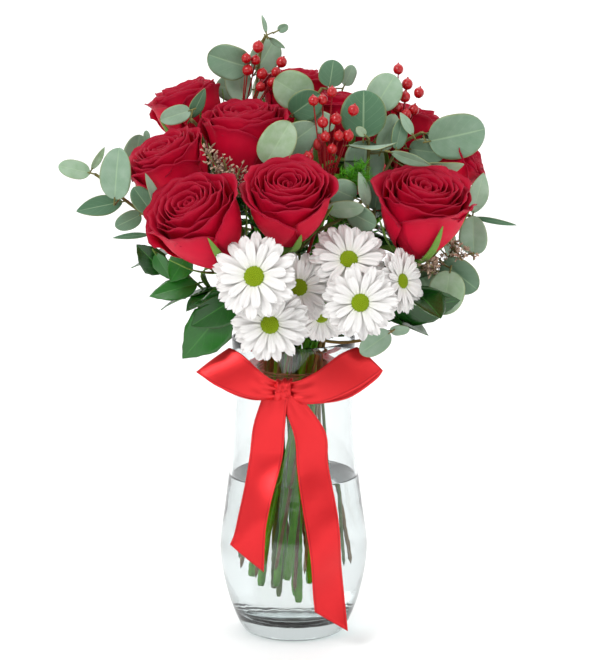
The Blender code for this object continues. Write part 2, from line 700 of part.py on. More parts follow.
def route(bundle, slot, end, arrive, diameter, sides, steps=6):
    """A stem from the vase to its flower; it bows aside where something is in its way."""
    leave = bundle.at(slot, STEM_LEAVES_TIE)
    start = bundle.cut_end(slot)
    rising = (leave - start).normalized()
    span = (end - leave).length
    bows = [Vector()]
    for size in (10, 18, 28, 40, 54, 70):
        for i in range(10):
            turn = math.tau * i / 10
            bows.append(Vector((math.cos(turn), math.sin(turn), 0)) * size * MM)
    reaches = ((0.36, 0.36), (0.5, 0.3), (0.25, 0.5), (0.6, 0.45))
    first = None
    tries = [(bow, near, hand) for bow in bows for near in (1.0, 0.0, 0.4) for hand in reaches]
    for bow, near, (leaving, arriving) in tries:
        curve = bezier(leave, leave + rising * span * leaving + bow * near,
                       end - arrive * span * arriving + bow, end, steps)
        line = [start] + curve
        test = tube(line[:-1] + [line[-1].lerp(line[-2], 0.05)], diameter + 4 * GAP, sides)
        if first is None:
            first = line
        if PLACED.clear(test):
            return line
    print("no clear way for a stem to", [round(c / MM) for c in end])
    return first


def receptacle(frame, diameter):
    """The green cup that carries a rose's petals."""
    outline = [(0.045, -0.17), (0.12, -0.09), (0.12, 0.0)]
    shape = [(r * diameter, h * diameter - 2 * GAP) for r, h in outline]
    return lathe(shape, 7, frame)


def sepal(frame, diameter, bearing, droop):
    """One pointed sepal, spread below the bloom and drooping outwards."""
    turn = frame @ Matrix.Rotation(bearing, 4, "Z")
    low, high = -0.085 * diameter, -0.055 * diameter
    sections = []
    for reach, half in ((0.0, 0.06), (0.30, 0.012)):
        r = (0.06 + reach * math.cos(droop)) * diameter
        drop = -reach * math.sin(droop) * diameter
        w = half * diameter
        sections.append([turn @ Vector((r, -w, low + drop)), turn @ Vector((r, w, low + drop)),
                         turn @ Vector((r, w, high + drop)), turn @ Vector((r, -w, high + drop))])
    return loft(sections)


def sepals(frame, diameter):
    """Five sepals, each drooping as far as its neighbours make it."""
    found = []
    for i in range(5):
        for droop in (12, 28, 44, 60, 72):
            blade = sepal(frame, diameter, math.tau * i / 5, math.radians(droop))
            if PLACED.clear(blade):
                break
        found.append(blade)
    return found


def make_roses(mats, jobs):
    for k, (place, direction, size) in enumerate(ROSES):
        diameter = ROSE_DIAMETER * size
        name = f"rose_{k + 1:02d}"
        frame = place_head(name + "_bloom", from_rim(place), direction,
                           rose_outline(diameter), 11, -0.5 * diameter, mats["rose"])
        jobs.append((name + "_stem", frame, diameter))


def make_rose_stems(mats, bundle, jobs, stems):
    for name, frame, diameter in jobs:
        axis = (frame.to_3x3() @ Vector((0, 0, 1))).normalized()
        base = frame.translation
        slot = bundle.take(base)
        end = base - axis * 0.15 * diameter
        line = route(bundle, slot, end, axis, ROSE_STEM, 6)
        cup = receptacle(frame, diameter)
        parts = [tube(line + [base - axis * 0.08 * diameter], ROSE_STEM, 6), cup]
        parts += sepals(frame, diameter)
        add_joined(name, parts, mats["stem"])
        PLACED.add(*parts)
        stems.append((line[:2], ROSE_STEM, 6))


def make_daisies(mats):
    bases = [[], []]
    for k, (place, direction, size, spray) in enumerate(DAISIES):
        diameter = DAISY_DIAMETER * size
        frame = place_head(f"chrysanthemum_{k + 1}_bloom", from_rim(place), direction,
                           daisy_outline(diameter), 12, 0.0, mats["daisy"])
        base = frame @ Vector((0, 0, -0.12 * diameter - 2 * GAP))
        bases[spray].append((base, (frame.to_3x3() @ Vector((0, 0, 1))).normalized()))
    return bases


def branch(fork, end, arrive, diameter, sides, steps=4):
    """A side stem from a fork, bowed clear of what is in its way."""
    span = (end - fork).length
    first = None
    bows = [Vector()]
    for size in (6, 12, 20, 30, 42):
        for i in range(8):
            turn = math.tau * i / 8
            bows.append(Vector((math.cos(turn), 0, math.sin(turn))) * size * MM)
            bows.append(Vector((0, math.cos(turn), math.sin(turn))) * size * MM)
    for bow in bows:
        curve = bezier(fork, fork.lerp(end, 0.35) + bow, end - arrive * span * 0.35 + bow * 0.6,
                       end, steps)
        test = tube(curve[:-1] + [curve[-1].lerp(curve[-2], 0.04)], diameter + 4 * GAP, sides)
        if first is None:
            first = curve
        if PLACED.clear(test):
            return curve
    print("no clear way for a branch to", [round(c / MM) for c in end])
    return first


def make_sprays(mats, bundle, bases, stems):
    for k, (fork_place, heads) in enumerate(zip(SPRAY_FORKS, bases)):
        fork = from_rim(fork_place)
        slot = bundle.take(fork)
        line = route(bundle, slot, fork, Vector((0, -0.3, 1)).normalized(), SPRAY_STEM, 6)
        parts = [tube(line, SPRAY_STEM, 6)]
        limbs = []
        for base, axis in heads:
            curve = branch(fork, base, axis, SPRAY_STEM * 0.6, 5)
            limbs.append(tube(curve, SPRAY_STEM * 0.6, 5))
        parts += limbs
        add_joined(f"chrysanthemum_stem_{k + 1}", parts, mats["stem"])
        PLACED.add(*parts)
        stems.append((line[:2], SPRAY_STEM, 6))


# ---------------------------------------------------------------- berries


def pod(place, direction):
    """One berry-like pod with a pointed tip, standing on its stalk's end."""
    outline = [(0.16, 0.0), (0.5, 0.3), (0.42, 0.68), (0.10, 1.0)]
    shape = [(r * POD_DIAMETER, h * POD_LENGTH) for r, h in outline]
    return lathe(shape, 6, facing(direction, place - direction * POD_LENGTH / 2))


def make_berries(mats, bundle, stems):
    for k, (fork_place, places) in enumerate(BERRIES):
        fork = from_rim(fork_place)
        slot = bundle.take(fork)
        line = route(bundle, slot, fork, Vector((0, 0, 1)), TWIG, 6)
        parts = [tube(line, TWIG, 6)]
        for place in places:
            middle = from_rim(place)
            direction = (middle - fork).normalized()
            direction = (direction + Vector((0, 0, 0.4))).normalized()
            for shift in slides(24, 2):
                test = pod(middle + shift, direction)
                if PLACED.clear(test):
                    break
            middle = middle + shift
            shape = pod(middle, direction)
            PLACED.add(shape)
            foot = middle - direction * (POD_LENGTH / 2 - 0.001)
            curve = branch(fork, foot - direction * 0.0016, direction, STALK, 3, 2)
            parts.append(tube(curve + [foot], STALK, 3))
            parts.append(shape)
        add_joined(f"berry_sprig_{k + 1}", parts, mats["berry"])
        PLACED.add(*parts)
        stems.append((line[:2], TWIG, 6))


# ---------------------------------------------------------------- leaves

BLADE = ((0.52, 0.0), (0.28, 0.36), (-0.06, 0.49), (-0.36, 0.34))


def leaf_frame(middle, angle, lean, roll):
    """A leaf's place: its length along +X, its width along +Y, its upper side to +Z."""
    tip = Vector((math.cos(math.radians(angle)), 0, math.sin(math.radians(angle))))
    face = FRONT.copy()
    lean, roll = math.radians(lean), math.radians(roll)
    tip, face = tip * math.cos(lean) + face * math.sin(lean), \
        face * math.cos(lean) - tip * math.sin(lean)
    across = face.cross(tip)
    across, face = across * math.cos(roll) + face * math.sin(roll), \
        face * math.cos(roll) - across * math.sin(roll)
    frame = Matrix((tip, across, face)).transposed().to_4x4()
    frame.translation = middle
    return frame


def leaf_plate(frame, length, width, grow=0.0):
    """The blade with its petiole's start: flat, its upper side a little smaller."""
    stub = (-0.47 * length - LEAF_STUB, 0.0008 + grow)
    root = (-0.47 * length, 0.0010 + grow)
    half = [(u * length + grow * u * 2, w * width + grow * 2 * w) for u, w in BLADE] + [root, stub]
    outline = half + [(u, -w) for u, w in reversed(half) if w > 0]
    thick = LEAF_THICKNESS / 2 + grow
    lower = [frame @ Vector((u, w, -thick)) for u, w in outline]
    upper = [frame @ Vector((u - 0.0002 * (u > 0), w * 0.97, thick)) for u, w in outline]
    return loft([lower, upper])


def petiole(frame, length, lines):
    """From the leaf's stub to the nearest point of its twig."""
    end = frame @ Vector((-0.47 * length - LEAF_STUB * 0.6, 0, 0))
    start = min((nearest_on(line, end) for line in lines), key=lambda spot: (spot - end).length)
    return start, end


def settle_leaf(place, length, width, angle, lean, roll, lines):
    """Slides a leaf in depth until the blade and its petiole are clear."""
    middle = from_rim(place)
    length, width = length * MM, width * MM
    first = None
    for tilt in (0, 14, -14, 28, -28, 45, -45):
        for shift in slides(36, 2):
            frame = leaf_frame(middle + shift, angle, lean + tilt, roll)
            if first is None:
                first = frame
            if not PLACED.clear(leaf_plate(frame, length, width, 2 * GAP)):
                continue
            start, end = petiole(frame, length, lines)
            if (end - start).length > 0.001:
                away = start + (end - start).normalized() * min(0.0025, (end - start).length / 2)
                if not PLACED.clear(tube([away, end], PETIOLE + 2 * GAP, 5)):
                    continue
            return frame
    print("no clear place for a leaf at", place)
    return first


def clear_twig(points, diameter, root=None):
    """A twig through the points, slid in depth until it is clear; a root stays where it is."""
    first = None
    for shift in slides(24, 2):
        moved = [point + shift for point in points]
        line = smooth_line(moved if root is None else [root] + moved, 2)
        if first is None:
            first = line
        test = line if root is None else [line[0].lerp(line[1], 0.6)] + line[1:]
        if PLACED.clear(tube(test, diameter + 4 * GAP, 6)):
            return line
    print("no clear place for a twig at", [round(c / MM) for c in points[0]])
    return first


def make_sprig(name, mats, key, spec, bundle, stems):
    twigs, leaves = spec
    lines = [[from_rim(p) for p in twig] for twig in twigs]
    main = clear_twig(lines[0], TWIG)
    slot = bundle.take(main[0])
    arrive = (main[1] - main[0]).normalized()
    stem = route(bundle, slot, main[0], arrive, TWIG, 6, 5)
    whole = stem[:-1] + main
    parts = [tube(whole, TWIG, 6)]
    reach = [main]
    for side in lines[1:]:
        line = clear_twig(side, TWIG * 0.8, nearest_on(whole, side[0]))
        parts.append(tube(line, TWIG * 0.8, 6))
        reach.append(line)
    PLACED.add(*parts)
    for place, length, width, angle, lean, roll in leaves:
        frame = settle_leaf(place, length, width, angle, lean, roll, reach)
        plate = leaf_plate(frame, length * MM, width * MM)
        start, end = petiole(frame, length * MM, reach)
        stalk = tube([start, end], PETIOLE, 4)
        PLACED.add(plate, stalk)
        parts += [plate, stalk]
    add_joined(name, parts, mats[key])
    stems.append((stem[:2], TWIG, 6))


def make_filler(name, mats, key, spec, bundle, stems):
    """A fine twiggy filler, each side twig thinner than its stem."""
    main, sides = spec
    line = clear_twig([from_rim(p) for p in main], TWIG)
    slot = bundle.take(line[0])
    stem = route(bundle, slot, line[0], (line[1] - line[0]).normalized(), TWIG, 6, 5)
    parts = [tube(stem[:-1] + line, TWIG, 6)]
    for start, end in sides:
        root = nearest_on(line, from_rim(start))
        tip = from_rim(end)
        curve = branch(root, tip, (tip - root).normalized(), PETIOLE, 5, 2)
        parts.append(tube(curve, PETIOLE * 1.1, 5))
    add_joined(name, parts, mats[key])
    PLACED.add(*parts)
    stems.append((stem[:2], TWIG, 6))


# ---------------------------------------------------------------- the whole part


def main():
    for old in list(bpy.data.objects):
        bpy.data.objects.remove(old)
    mats = make_materials()
    count = len(ROSES) + len(SPRAY_FORKS) + len(BERRIES) + len(EUCALYPTUS) + len(GLOSSY)
    count += 1 + len(LIMONIUM)
    bundle = Bundle(count)
    make_vase(mats)
    make_tie(mats, count)
    make_ribbon(mats)
    rose_jobs = []
    make_roses(mats, rose_jobs)
    bases = make_daisies(mats)
    stems = []
    make_rose_stems(mats, bundle, rose_jobs, stems)
    make_sprays(mats, bundle, bases, stems)
    make_berries(mats, bundle, stems)
    make_filler("fern_sprig", mats, "fern", FERN, bundle, stems)
    for k, spec in enumerate(EUCALYPTUS):
        make_sprig(f"eucalyptus_sprig_{k + 1:02d}", mats, "eucalyptus", spec, bundle, stems)
    for k, spec in enumerate(GLOSSY):
        make_sprig(f"glossy_leaf_{k + 1}", mats, "glossy", spec, bundle, stems)
    for k, spec in enumerate(LIMONIUM):
        make_filler(f"limonium_sprig_{k + 1}", mats, "dried", spec, bundle, stems)
    make_water(mats, stems)


main()
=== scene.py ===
"""Roses in a vase: the finished look of the bouquet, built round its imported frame.

Metres, +Z up, -Y to the front. Each operator makes one piece or one group of like pieces. A piece
takes its place from the frame's solids: a bloom from its turned blank, a leaf from its flat plate,
a berry from its pod, the ribbon from its strips, and the glass from its rings.
"""
import math
import random

import bmesh
import bpy
from bpy.props import FloatProperty, FloatVectorProperty, IntProperty, PointerProperty
from mathutils import Matrix, Vector, noise


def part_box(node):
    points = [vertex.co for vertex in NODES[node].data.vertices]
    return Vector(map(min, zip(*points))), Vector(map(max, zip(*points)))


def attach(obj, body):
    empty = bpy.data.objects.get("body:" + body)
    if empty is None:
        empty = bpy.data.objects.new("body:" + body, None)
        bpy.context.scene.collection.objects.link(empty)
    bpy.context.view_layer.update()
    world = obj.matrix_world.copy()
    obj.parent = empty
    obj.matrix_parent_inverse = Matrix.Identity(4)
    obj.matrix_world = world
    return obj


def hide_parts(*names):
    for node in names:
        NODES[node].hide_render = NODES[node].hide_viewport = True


bl_info = {
    "name": "Roses in a vase",
    "version": (1, 0, 0),
    "blender": (4, 5, 0),
    "location": "3D View > Sidebar > Bouquet",
    "description": "Builds a bouquet of roses in a ribboned glass vase round its frame",
    "category": "Object",
}

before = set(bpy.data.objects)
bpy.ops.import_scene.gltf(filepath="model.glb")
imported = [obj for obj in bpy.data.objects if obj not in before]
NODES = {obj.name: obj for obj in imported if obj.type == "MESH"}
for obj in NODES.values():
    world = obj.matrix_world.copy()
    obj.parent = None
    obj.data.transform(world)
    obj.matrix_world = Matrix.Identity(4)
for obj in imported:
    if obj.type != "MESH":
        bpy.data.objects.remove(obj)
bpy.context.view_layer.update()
BODY = "root"
MM = 0.001
UP = Vector((0.0, 0.0, 1.0))
FRONT = Vector((0.0, -1.0, 0.0))
GOLDEN_TURN = math.pi * (3 - math.sqrt(5))
LEAF_THICKNESS = 1.1 * MM      # of the frame's leaf plates
LEAF_STUB = 4.0 * MM           # the part of a plate that is petiole
POD_LENGTH = 9.5 * MM
POD_RADIUS = 4.6 * MM
POD_TIP_RADIUS = 0.82 * MM
RIBBON_WIDTH = 25 * MM
RIBBON_THICKNESS = 0.3 * MM
BLADE_THICKNESS = 0.4 * MM     # of the finished leaves
RAY_THICKNESS = 0.35 * MM      # of a chrysanthemum's petals
SEPAL_THICKNESS = 0.7 * MM
BRACT_THICKNESS = 0.15 * MM
STEM_FOOT_TOP = 0.235          # height up to which twigs and stalks keep their cut-end colour
ROSE_WIDE = 0.48               # a blank's widest radius against the rose's diameter
DAISY_WIDE = 0.46              # a blank's widest radius against the head's diameter
DAISY_BACK = 0.12              # its calyx's depth against the diameter
MARKS = ("across", "along", "tone")


# ---------------------------------------------------------------- colours and materials


def linear(code):
    """An sRGB hex colour as linear red, green and blue."""
    found = []
    for k in (0, 2, 4):
        c = int(code[k:k + 2], 16) / 255
        found.append(c / 12.92 if c <= 0.04045 else ((c + 0.055) / 1.055) ** 2.4)
    return tuple(found)


def rgba(code):
    """The same, with full alpha."""
    return (*linear(code), 1.0)


def new_material(name):
    """A material with an empty node tree."""
    mat = bpy.data.materials.new(name)
    mat.use_nodes = True
    mat.node_tree.nodes.clear()
    return mat


def add_node(mat, kind, inputs=None, out=0, **settings):
    """Adds a node with its settings, values and links, and gives the output that is asked for."""
    node = mat.node_tree.nodes.new("ShaderNode" + kind)
    for key, value in settings.items():
        setattr(node, key, value)
    for key, value in (inputs or {}).items():
        if isinstance(value, bpy.types.NodeSocket):
            mat.node_tree.links.new(value, node.inputs[key])
        else:
            node.inputs[key].default_value = value
    return node.outputs[out] if node.outputs else None


def rose_petal_velvet(colours):
    """Rose petal, fresh: fine papillae scatter light, so the red is deep and soft, a little
    darker and bluer at the rim, with faint veins fanning along it. Its red runs from a shaded red
    to a lit red by a tone that is partly random and partly painted light and shade."""
    mat = new_material("rose_petal_velvet")
    across, along, tone = (add_node(mat, "Attribute", out="Fac", attribute_name=mark)
                           for mark in MARKS)
    place = add_node(mat, "TexCoord", out="Object")
    mottle, papillae = (add_node(mat, "TexNoise", {"Vector": place, "Scale": 1 / size,
                                                   "Detail": 3.0})
                        for size in (6 * MM, 0.9 * MM))
    rim = add_node(mat, "Math", {0: along, 1: 9.0}, operation="POWER", use_clamp=True)
    veins = add_node(mat, "Math", {0: across, 1: 62.0}, operation="MULTIPLY")
    veins = add_node(mat, "Math", {0: veins}, operation="SINE")
    veins = add_node(mat, "Math", {0: veins, 1: 0.5, 2: 0.5}, operation="MULTIPLY_ADD")
    # Painted light and shade: the tone mixes the shaded red into the lit red, lighter for the
    # inner petals and darker for the outer ones, with random change from petal to petal.
    body = add_node(mat, "Mix", {0: tone, 6: (*colours.rose_painted_shade, 1), 7: (*colours.rose, 1)},
                    out=2, data_type="RGBA")
    for where, strength, colour in ((mottle, 0.25, rgba("8A0020")),
                                    (rim, 0.6, (*colours.rose_rim, 1))):
        share = add_node(mat, "Math", {0: where, 1: strength}, operation="MULTIPLY")
        body = add_node(mat, "Mix", {0: share, 6: body, 7: colour}, out=2, data_type="RGBA")
    height = add_node(mat, "Math", {0: veins, 1: 0.12, 2: papillae}, operation="MULTIPLY_ADD")
    normal = add_node(mat, "Bump", {"Height": height, "Strength": 0.25, "Distance": 0.25 * MM})
    shader = add_node(mat, "BsdfPrincipled", {
        "Base Color": body, "Roughness": 0.6, "Specular IOR Level": 0.18, "Sheen Weight": 0.08,
        "Sheen Roughness": 0.5, "Sheen Tint": rgba("E0506E"), "Subsurface Weight": 0.1,
        "Subsurface Radius": (0.004, 0.001, 0.001), "Subsurface Scale": 0.6, "Normal": normal})
    add_node(mat, "OutputMaterial", {"Surface": shader})
    return mat


def chrysanthemum_petal_matte(colours):
    """Chrysanthemum ray petal, fresh: thin, white and matt, greener where it leaves the disc,
    with long grooves that shade it softly."""
    mat = new_material("chrysanthemum_petal_matte")
    across, along = (add_node(mat, "Attribute", out="Fac", attribute_name=mark)
                     for mark in MARKS[:2])
    place = add_node(mat, "TexCoord", out="Object")
    mottle = add_node(mat, "TexNoise", {"Vector": place, "Scale": 1 / (7 * MM), "Detail": 3.0})
    grooves = add_node(mat, "Math", {0: across, 1: 11.0}, operation="MULTIPLY")
    grooves = add_node(mat, "Math", {0: grooves}, operation="COSINE")
    root = add_node(mat, "Math", {0: 1.0, 1: along}, operation="SUBTRACT")
    root = add_node(mat, "Math", {0: root, 1: 5.0}, operation="POWER", use_clamp=True)
    body = (*colours.daisy, 1)
    for where, strength, colour in ((root, 0.5, "DCE8A8"), (mottle, 0.18, "DCDAD6")):
        share = add_node(mat, "Math", {0: where, 1: strength}, operation="MULTIPLY")
        body = add_node(mat, "Mix", {0: share, 6: body, 7: rgba(colour)}, out=2,
                        data_type="RGBA")
    height = add_node(mat, "Math", {0: grooves, 1: 0.5, 2: 0.5}, operation="MULTIPLY_ADD")
    normal = add_node(mat, "Bump", {"Height": height, "Strength": 0.35, "Distance": 0.3 * MM})
    shader = add_node(mat, "BsdfPrincipled", {
        "Base Color": body, "Roughness": 0.58, "Specular IOR Level": 0.3,
        "Subsurface Weight": 0.3, "Subsurface Radius": (0.004, 0.004, 0.004),
        "Subsurface Scale": 0.5, "Normal": normal})
    add_node(mat, "OutputMaterial", {"Surface": shader})
    return mat


def disc_floret_waxy(colours):
    """Disc florets, tightly packed buds: waxy and lime green, more yellow at the outside."""
    mat = new_material("disc_floret_waxy")
    along = add_node(mat, "Attribute", out="Fac", attribute_name="along")
    place = add_node(mat, "TexCoord", out="Object")
    mottle, grain = (add_node(mat, "TexNoise", {"Vector": place, "Scale": 1 / size,
                                                "Detail": 3.0}) for size in (1.2 * MM, 0.8 * MM))
    body = (*colours.disc, 1)
    for where, strength, colour in ((along, 1.0, "9AAE08"), (mottle, 0.5, "5E7A0A")):
        share = add_node(mat, "Math", {0: where, 1: strength}, operation="MULTIPLY")
        body = add_node(mat, "Mix", {0: share, 6: body, 7: rgba(colour)}, out=2,
                        data_type="RGBA")
    normal = add_node(mat, "Bump", {"Height": grain, "Strength": 0.4, "Distance": 0.3 * MM})
    shader = add_node(mat, "BsdfPrincipled", {"Base Color": body, "Roughness": 0.65,
                                              "Specular IOR Level": 0.2, "Normal": normal})
    add_node(mat, "OutputMaterial", {"Surface": shader})
    return mat


def plant_green(name, light, dark, patch, roughness, bump, foot=None):
    """Fresh green stem or calyx: waxy cuticle over fibres that run along it. A foot colour
    takes over where the stem goes down into the vase."""
    mat = new_material(name)
    place = add_node(mat, "TexCoord", out="Object")
    mottle = add_node(mat, "TexNoise", {"Vector": place, "Scale": 1 / patch, "Detail": 3.0})
    body = add_node(mat, "Mix", {0: mottle, 6: rgba(light), 7: rgba(dark)}, out=2,
                    data_type="RGBA")
    if foot:
        height = add_node(mat, "SeparateXYZ", {0: place}, out="Z")
        above = add_node(mat, "Math", {0: height, 1: STEM_FOOT_TOP}, operation="SUBTRACT")
        above = add_node(mat, "Math", {0: above, 1: 25.0}, operation="MULTIPLY", use_clamp=True)
        body = add_node(mat, "Mix", {0: above, 6: rgba(foot), 7: body}, out=2,
                        data_type="RGBA")
    drawn = add_node(mat, "Mapping", {"Vector": place, "Scale": (1.0, 1.0, 0.06)})
    fibres = add_node(mat, "TexNoise", {"Vector": drawn, "Scale": 1 / (0.7 * MM)})
    streaks = add_node(mat, "Math", {0: fibres, 1: 0.45}, operation="MULTIPLY")
    body = add_node(mat, "Mix", {0: streaks, 6: body, 7: rgba(dark)}, out=2, data_type="RGBA")
    normal = add_node(mat, "Bump", {"Height": fibres, "Strength": bump, "Distance": 0.3 * MM})
    shader = add_node(mat, "BsdfPrincipled", {"Base Color": body, "Roughness": roughness,
                                              "Specular IOR Level": 0.2, "Normal": normal})
    add_node(mat, "OutputMaterial", {"Surface": shader})
    return mat


def leaf_cuticle(name, light, dark, vein, rim, roughness, coat, rib=1.0, bloom=0.0, young=None):
    """A leaf's skin: lighter midrib and side veins that bend to the tip, a thin coloured rim,
    patches of shade and, on eucalyptus, a pale waxy bloom that greys the green."""
    mat = new_material(name)
    across, along, tone = (add_node(mat, "Attribute", out="Fac", attribute_name=mark)
                           for mark in MARKS)
    place = add_node(mat, "TexCoord", out="Object")
    mottle, cells, dust = (add_node(mat, "TexNoise", {"Vector": place, "Scale": 1 / size,
                                                      "Detail": 3.0})
                           for size in (5 * MM, 1.6 * MM, 9 * MM))
    dust = add_node(mat, "Math", {0: dust, 1: tone}, operation="MULTIPLY")
    fresh = add_node(mat, "Math", {0: tone, 1: 7.0}, operation="POWER", use_clamp=True)
    side = add_node(mat, "Math", {0: across}, operation="ABSOLUTE")
    bent = add_node(mat, "Math", {0: side, 1: -2.2}, operation="MULTIPLY")
    slant = add_node(mat, "Math", {0: along, 1: 8.0, 2: bent}, operation="MULTIPLY_ADD")
    wave = add_node(mat, "Math", {0: slant, 1: math.pi}, operation="MULTIPLY")
    wave = add_node(mat, "Math", {0: wave}, operation="SINE")
    wave = add_node(mat, "Math", {0: wave}, operation="ABSOLUTE")
    lines = add_node(mat, "Math", {0: wave, 1: -9.0, 2: 1.0}, operation="MULTIPLY_ADD",
                     use_clamp=True)
    lines = add_node(mat, "Math", {0: lines, 1: 0.45 * rib}, operation="MULTIPLY")
    middle = add_node(mat, "Math", {0: side, 1: -16.0, 2: 1.0}, operation="MULTIPLY_ADD",
                      use_clamp=True)
    net = add_node(mat, "Math", {0: lines, 1: middle}, operation="MAXIMUM")
    edge = add_node(mat, "Math", {0: side, 1: 26.0}, operation="POWER", use_clamp=True)
    body = add_node(mat, "Mix", {0: tone, 6: rgba(dark), 7: rgba(light)}, out=2,
                    data_type="RGBA")
    for where, strength, colour in ((mottle, 0.3, dark), (fresh, 0.9, young),
                                    (dust, bloom, "C4D2C6"), (net, 0.6, vein),
                                    (edge, 0.8, rim)):
        if strength and colour:
            share = add_node(mat, "Math", {0: where, 1: strength}, operation="MULTIPLY")
            body = add_node(mat, "Mix", {0: share, 6: body, 7: rgba(colour)}, out=2,
                            data_type="RGBA")
    height = add_node(mat, "Math", {0: cells, 1: 0.4}, operation="MULTIPLY")
    height = add_node(mat, "Math", {0: height, 1: net}, operation="SUBTRACT")
    normal = add_node(mat, "Bump", {"Height": height, "Strength": 0.3, "Distance": 0.3 * MM})
    shader = add_node(mat, "BsdfPrincipled", {
        "Base Color": body, "Roughness": roughness, "Coat Weight": coat, "Coat Roughness": 0.25,
        "Specular IOR Level": 0.4, "Normal": normal})
    add_node(mat, "OutputMaterial", {"Surface": shader})
    return mat


def berry_skin_waxed(colours):
    """Berry skin, natural wax: bright and smooth, with darker seams from stalk to tip."""
    mat = new_material("berry_skin_waxed")
    across, along = (add_node(mat, "Attribute", out="Fac", attribute_name=mark)
                     for mark in MARKS[:2])
    seam = add_node(mat, "Math", {0: across, 1: math.tau}, operation="MULTIPLY")
    seam = add_node(mat, "Math", {0: seam}, operation="SINE")
    seam = add_node(mat, "Math", {0: seam}, operation="ABSOLUTE")
    seam = add_node(mat, "Math", {0: 1.0, 1: seam}, operation="SUBTRACT")
    seam = add_node(mat, "Math", {0: seam, 1: 5.0}, operation="POWER", use_clamp=True)
    tip = add_node(mat, "Math", {0: along, 1: 14.0}, operation="POWER", use_clamp=True)
    body = (*colours.berry, 1)
    for where, strength, colour in ((seam, 0.7, "7E0A0C"), (tip, 1.0, "5A120C")):
        share = add_node(mat, "Math", {0: where, 1: strength}, operation="MULTIPLY")
        body = add_node(mat, "Mix", {0: share, 6: body, 7: rgba(colour)}, out=2,
                        data_type="RGBA")
    normal = add_node(mat, "Bump", {"Height": seam, "Strength": 0.3, "Distance": 0.3 * MM})
    shader = add_node(mat, "BsdfPrincipled", {
        "Base Color": body, "Roughness": 0.32, "Specular IOR Level": 0.3, "Coat Weight": 0.4,
        "Coat Roughness": 0.05, "Normal": normal})
    add_node(mat, "OutputMaterial", {"Surface": shader})
    return mat


def red_satin_woven(colours):
    """Polyester satin, woven with long floats: they lie along the ribbon, so it shines in wide
    bands. The weave, 0.25 mm apart in fact, is drawn at 0.8 mm so that it shows. A denser woven
    line follows each edge. Soft patches of a darker red are painted shade that stands in for the
    shade in its folds."""
    mat = new_material("red_satin_woven")
    across, along = (add_node(mat, "Attribute", out="Fac", attribute_name=mark)
                     for mark in MARKS[:2])
    place = add_node(mat, "TexCoord", out="Object")
    painted_fold_shade, fine = (add_node(mat, "TexNoise", {"Vector": place, "Scale": 1 / size,
                                              "Detail": 3.0}) for size in (14 * MM, 1.1 * MM))
    line = add_node(mat, "Math", {0: across}, operation="ABSOLUTE")
    line = add_node(mat, "Math", {0: line, 1: 0.88}, operation="SUBTRACT")
    line = add_node(mat, "Math", {0: line}, operation="ABSOLUTE")
    line = add_node(mat, "Math", {0: line, 1: -22.0, 2: 1.0}, operation="MULTIPLY_ADD",
                    use_clamp=True)
    rows = add_node(mat, "Math", {0: along, 1: math.tau / (0.8 * MM)}, operation="MULTIPLY")
    rows = add_node(mat, "Math", {0: rows}, operation="SINE")
    floats = add_node(mat, "Math", {0: across, 1: 98.0}, operation="MULTIPLY")
    floats = add_node(mat, "Math", {0: floats}, operation="SINE")
    weave = add_node(mat, "Math", {0: rows, 1: floats}, operation="MULTIPLY")
    body = (*colours.ribbon, 1)
    # The large soft noise patches of darker red are painted shade, standing in for the shade in
    # the satin's folds; the fine grain and the edge lines are the weave's own colour.
    for where, strength, colour in ((painted_fold_shade, 0.3, (*colours.ribbon_painted_shade, 1)),
                                    (fine, 0.22, rgba("8E0814")), (line, 0.6, rgba("960A18"))):
        share = add_node(mat, "Math", {0: where, 1: strength}, operation="MULTIPLY")
        body = add_node(mat, "Mix", {0: share, 6: body, 7: colour}, out=2, data_type="RGBA")
    rough = add_node(mat, "Math", {0: weave, 1: 0.03, 2: 0.30}, operation="MULTIPLY_ADD")
    height = add_node(mat, "Math", {0: weave, 1: 0.25, 2: line}, operation="MULTIPLY_ADD")
    normal = add_node(mat, "Bump", {"Height": height, "Strength": 0.3, "Distance": 0.25 * MM})
    shader = add_node(mat, "BsdfPrincipled", {
        "Base Color": body, "Roughness": rough, "Metallic": 0.55, "Specular IOR Level": 0.9,
        "Specular Tint": rgba("FFC8BC"), "Sheen Weight": 0.1, "Sheen Roughness": 0.35,
        "Sheen Tint": rgba("FF9A8C"), "Normal": normal})
    add_node(mat, "OutputMaterial", {"Surface": shader})
    return mat


def jute_twine_twisted():
    """Jute twine, two plies twisted: dry and matt, its fibres show as fine light hairs."""
    mat = new_material("jute_twine_twisted")
    place = add_node(mat, "TexCoord", out="Object")
    fibres = add_node(mat, "TexNoise", {"Vector": place, "Scale": 1 / (0.6 * MM),
                                        "Detail": 6.0})
    body = add_node(mat, "Mix", {0: fibres, 6: rgba("6A3E1E"), 7: rgba("B98A58")}, out=2,
                    data_type="RGBA")
    normal = add_node(mat, "Bump", {"Height": fibres, "Strength": 0.7, "Distance": 0.3 * MM})
    shader = add_node(mat, "BsdfPrincipled", {"Base Color": body, "Roughness": 0.9,
                                              "Sheen Weight": 0.2, "Normal": normal})
    add_node(mat, "OutputMaterial", {"Surface": shader})
    return mat


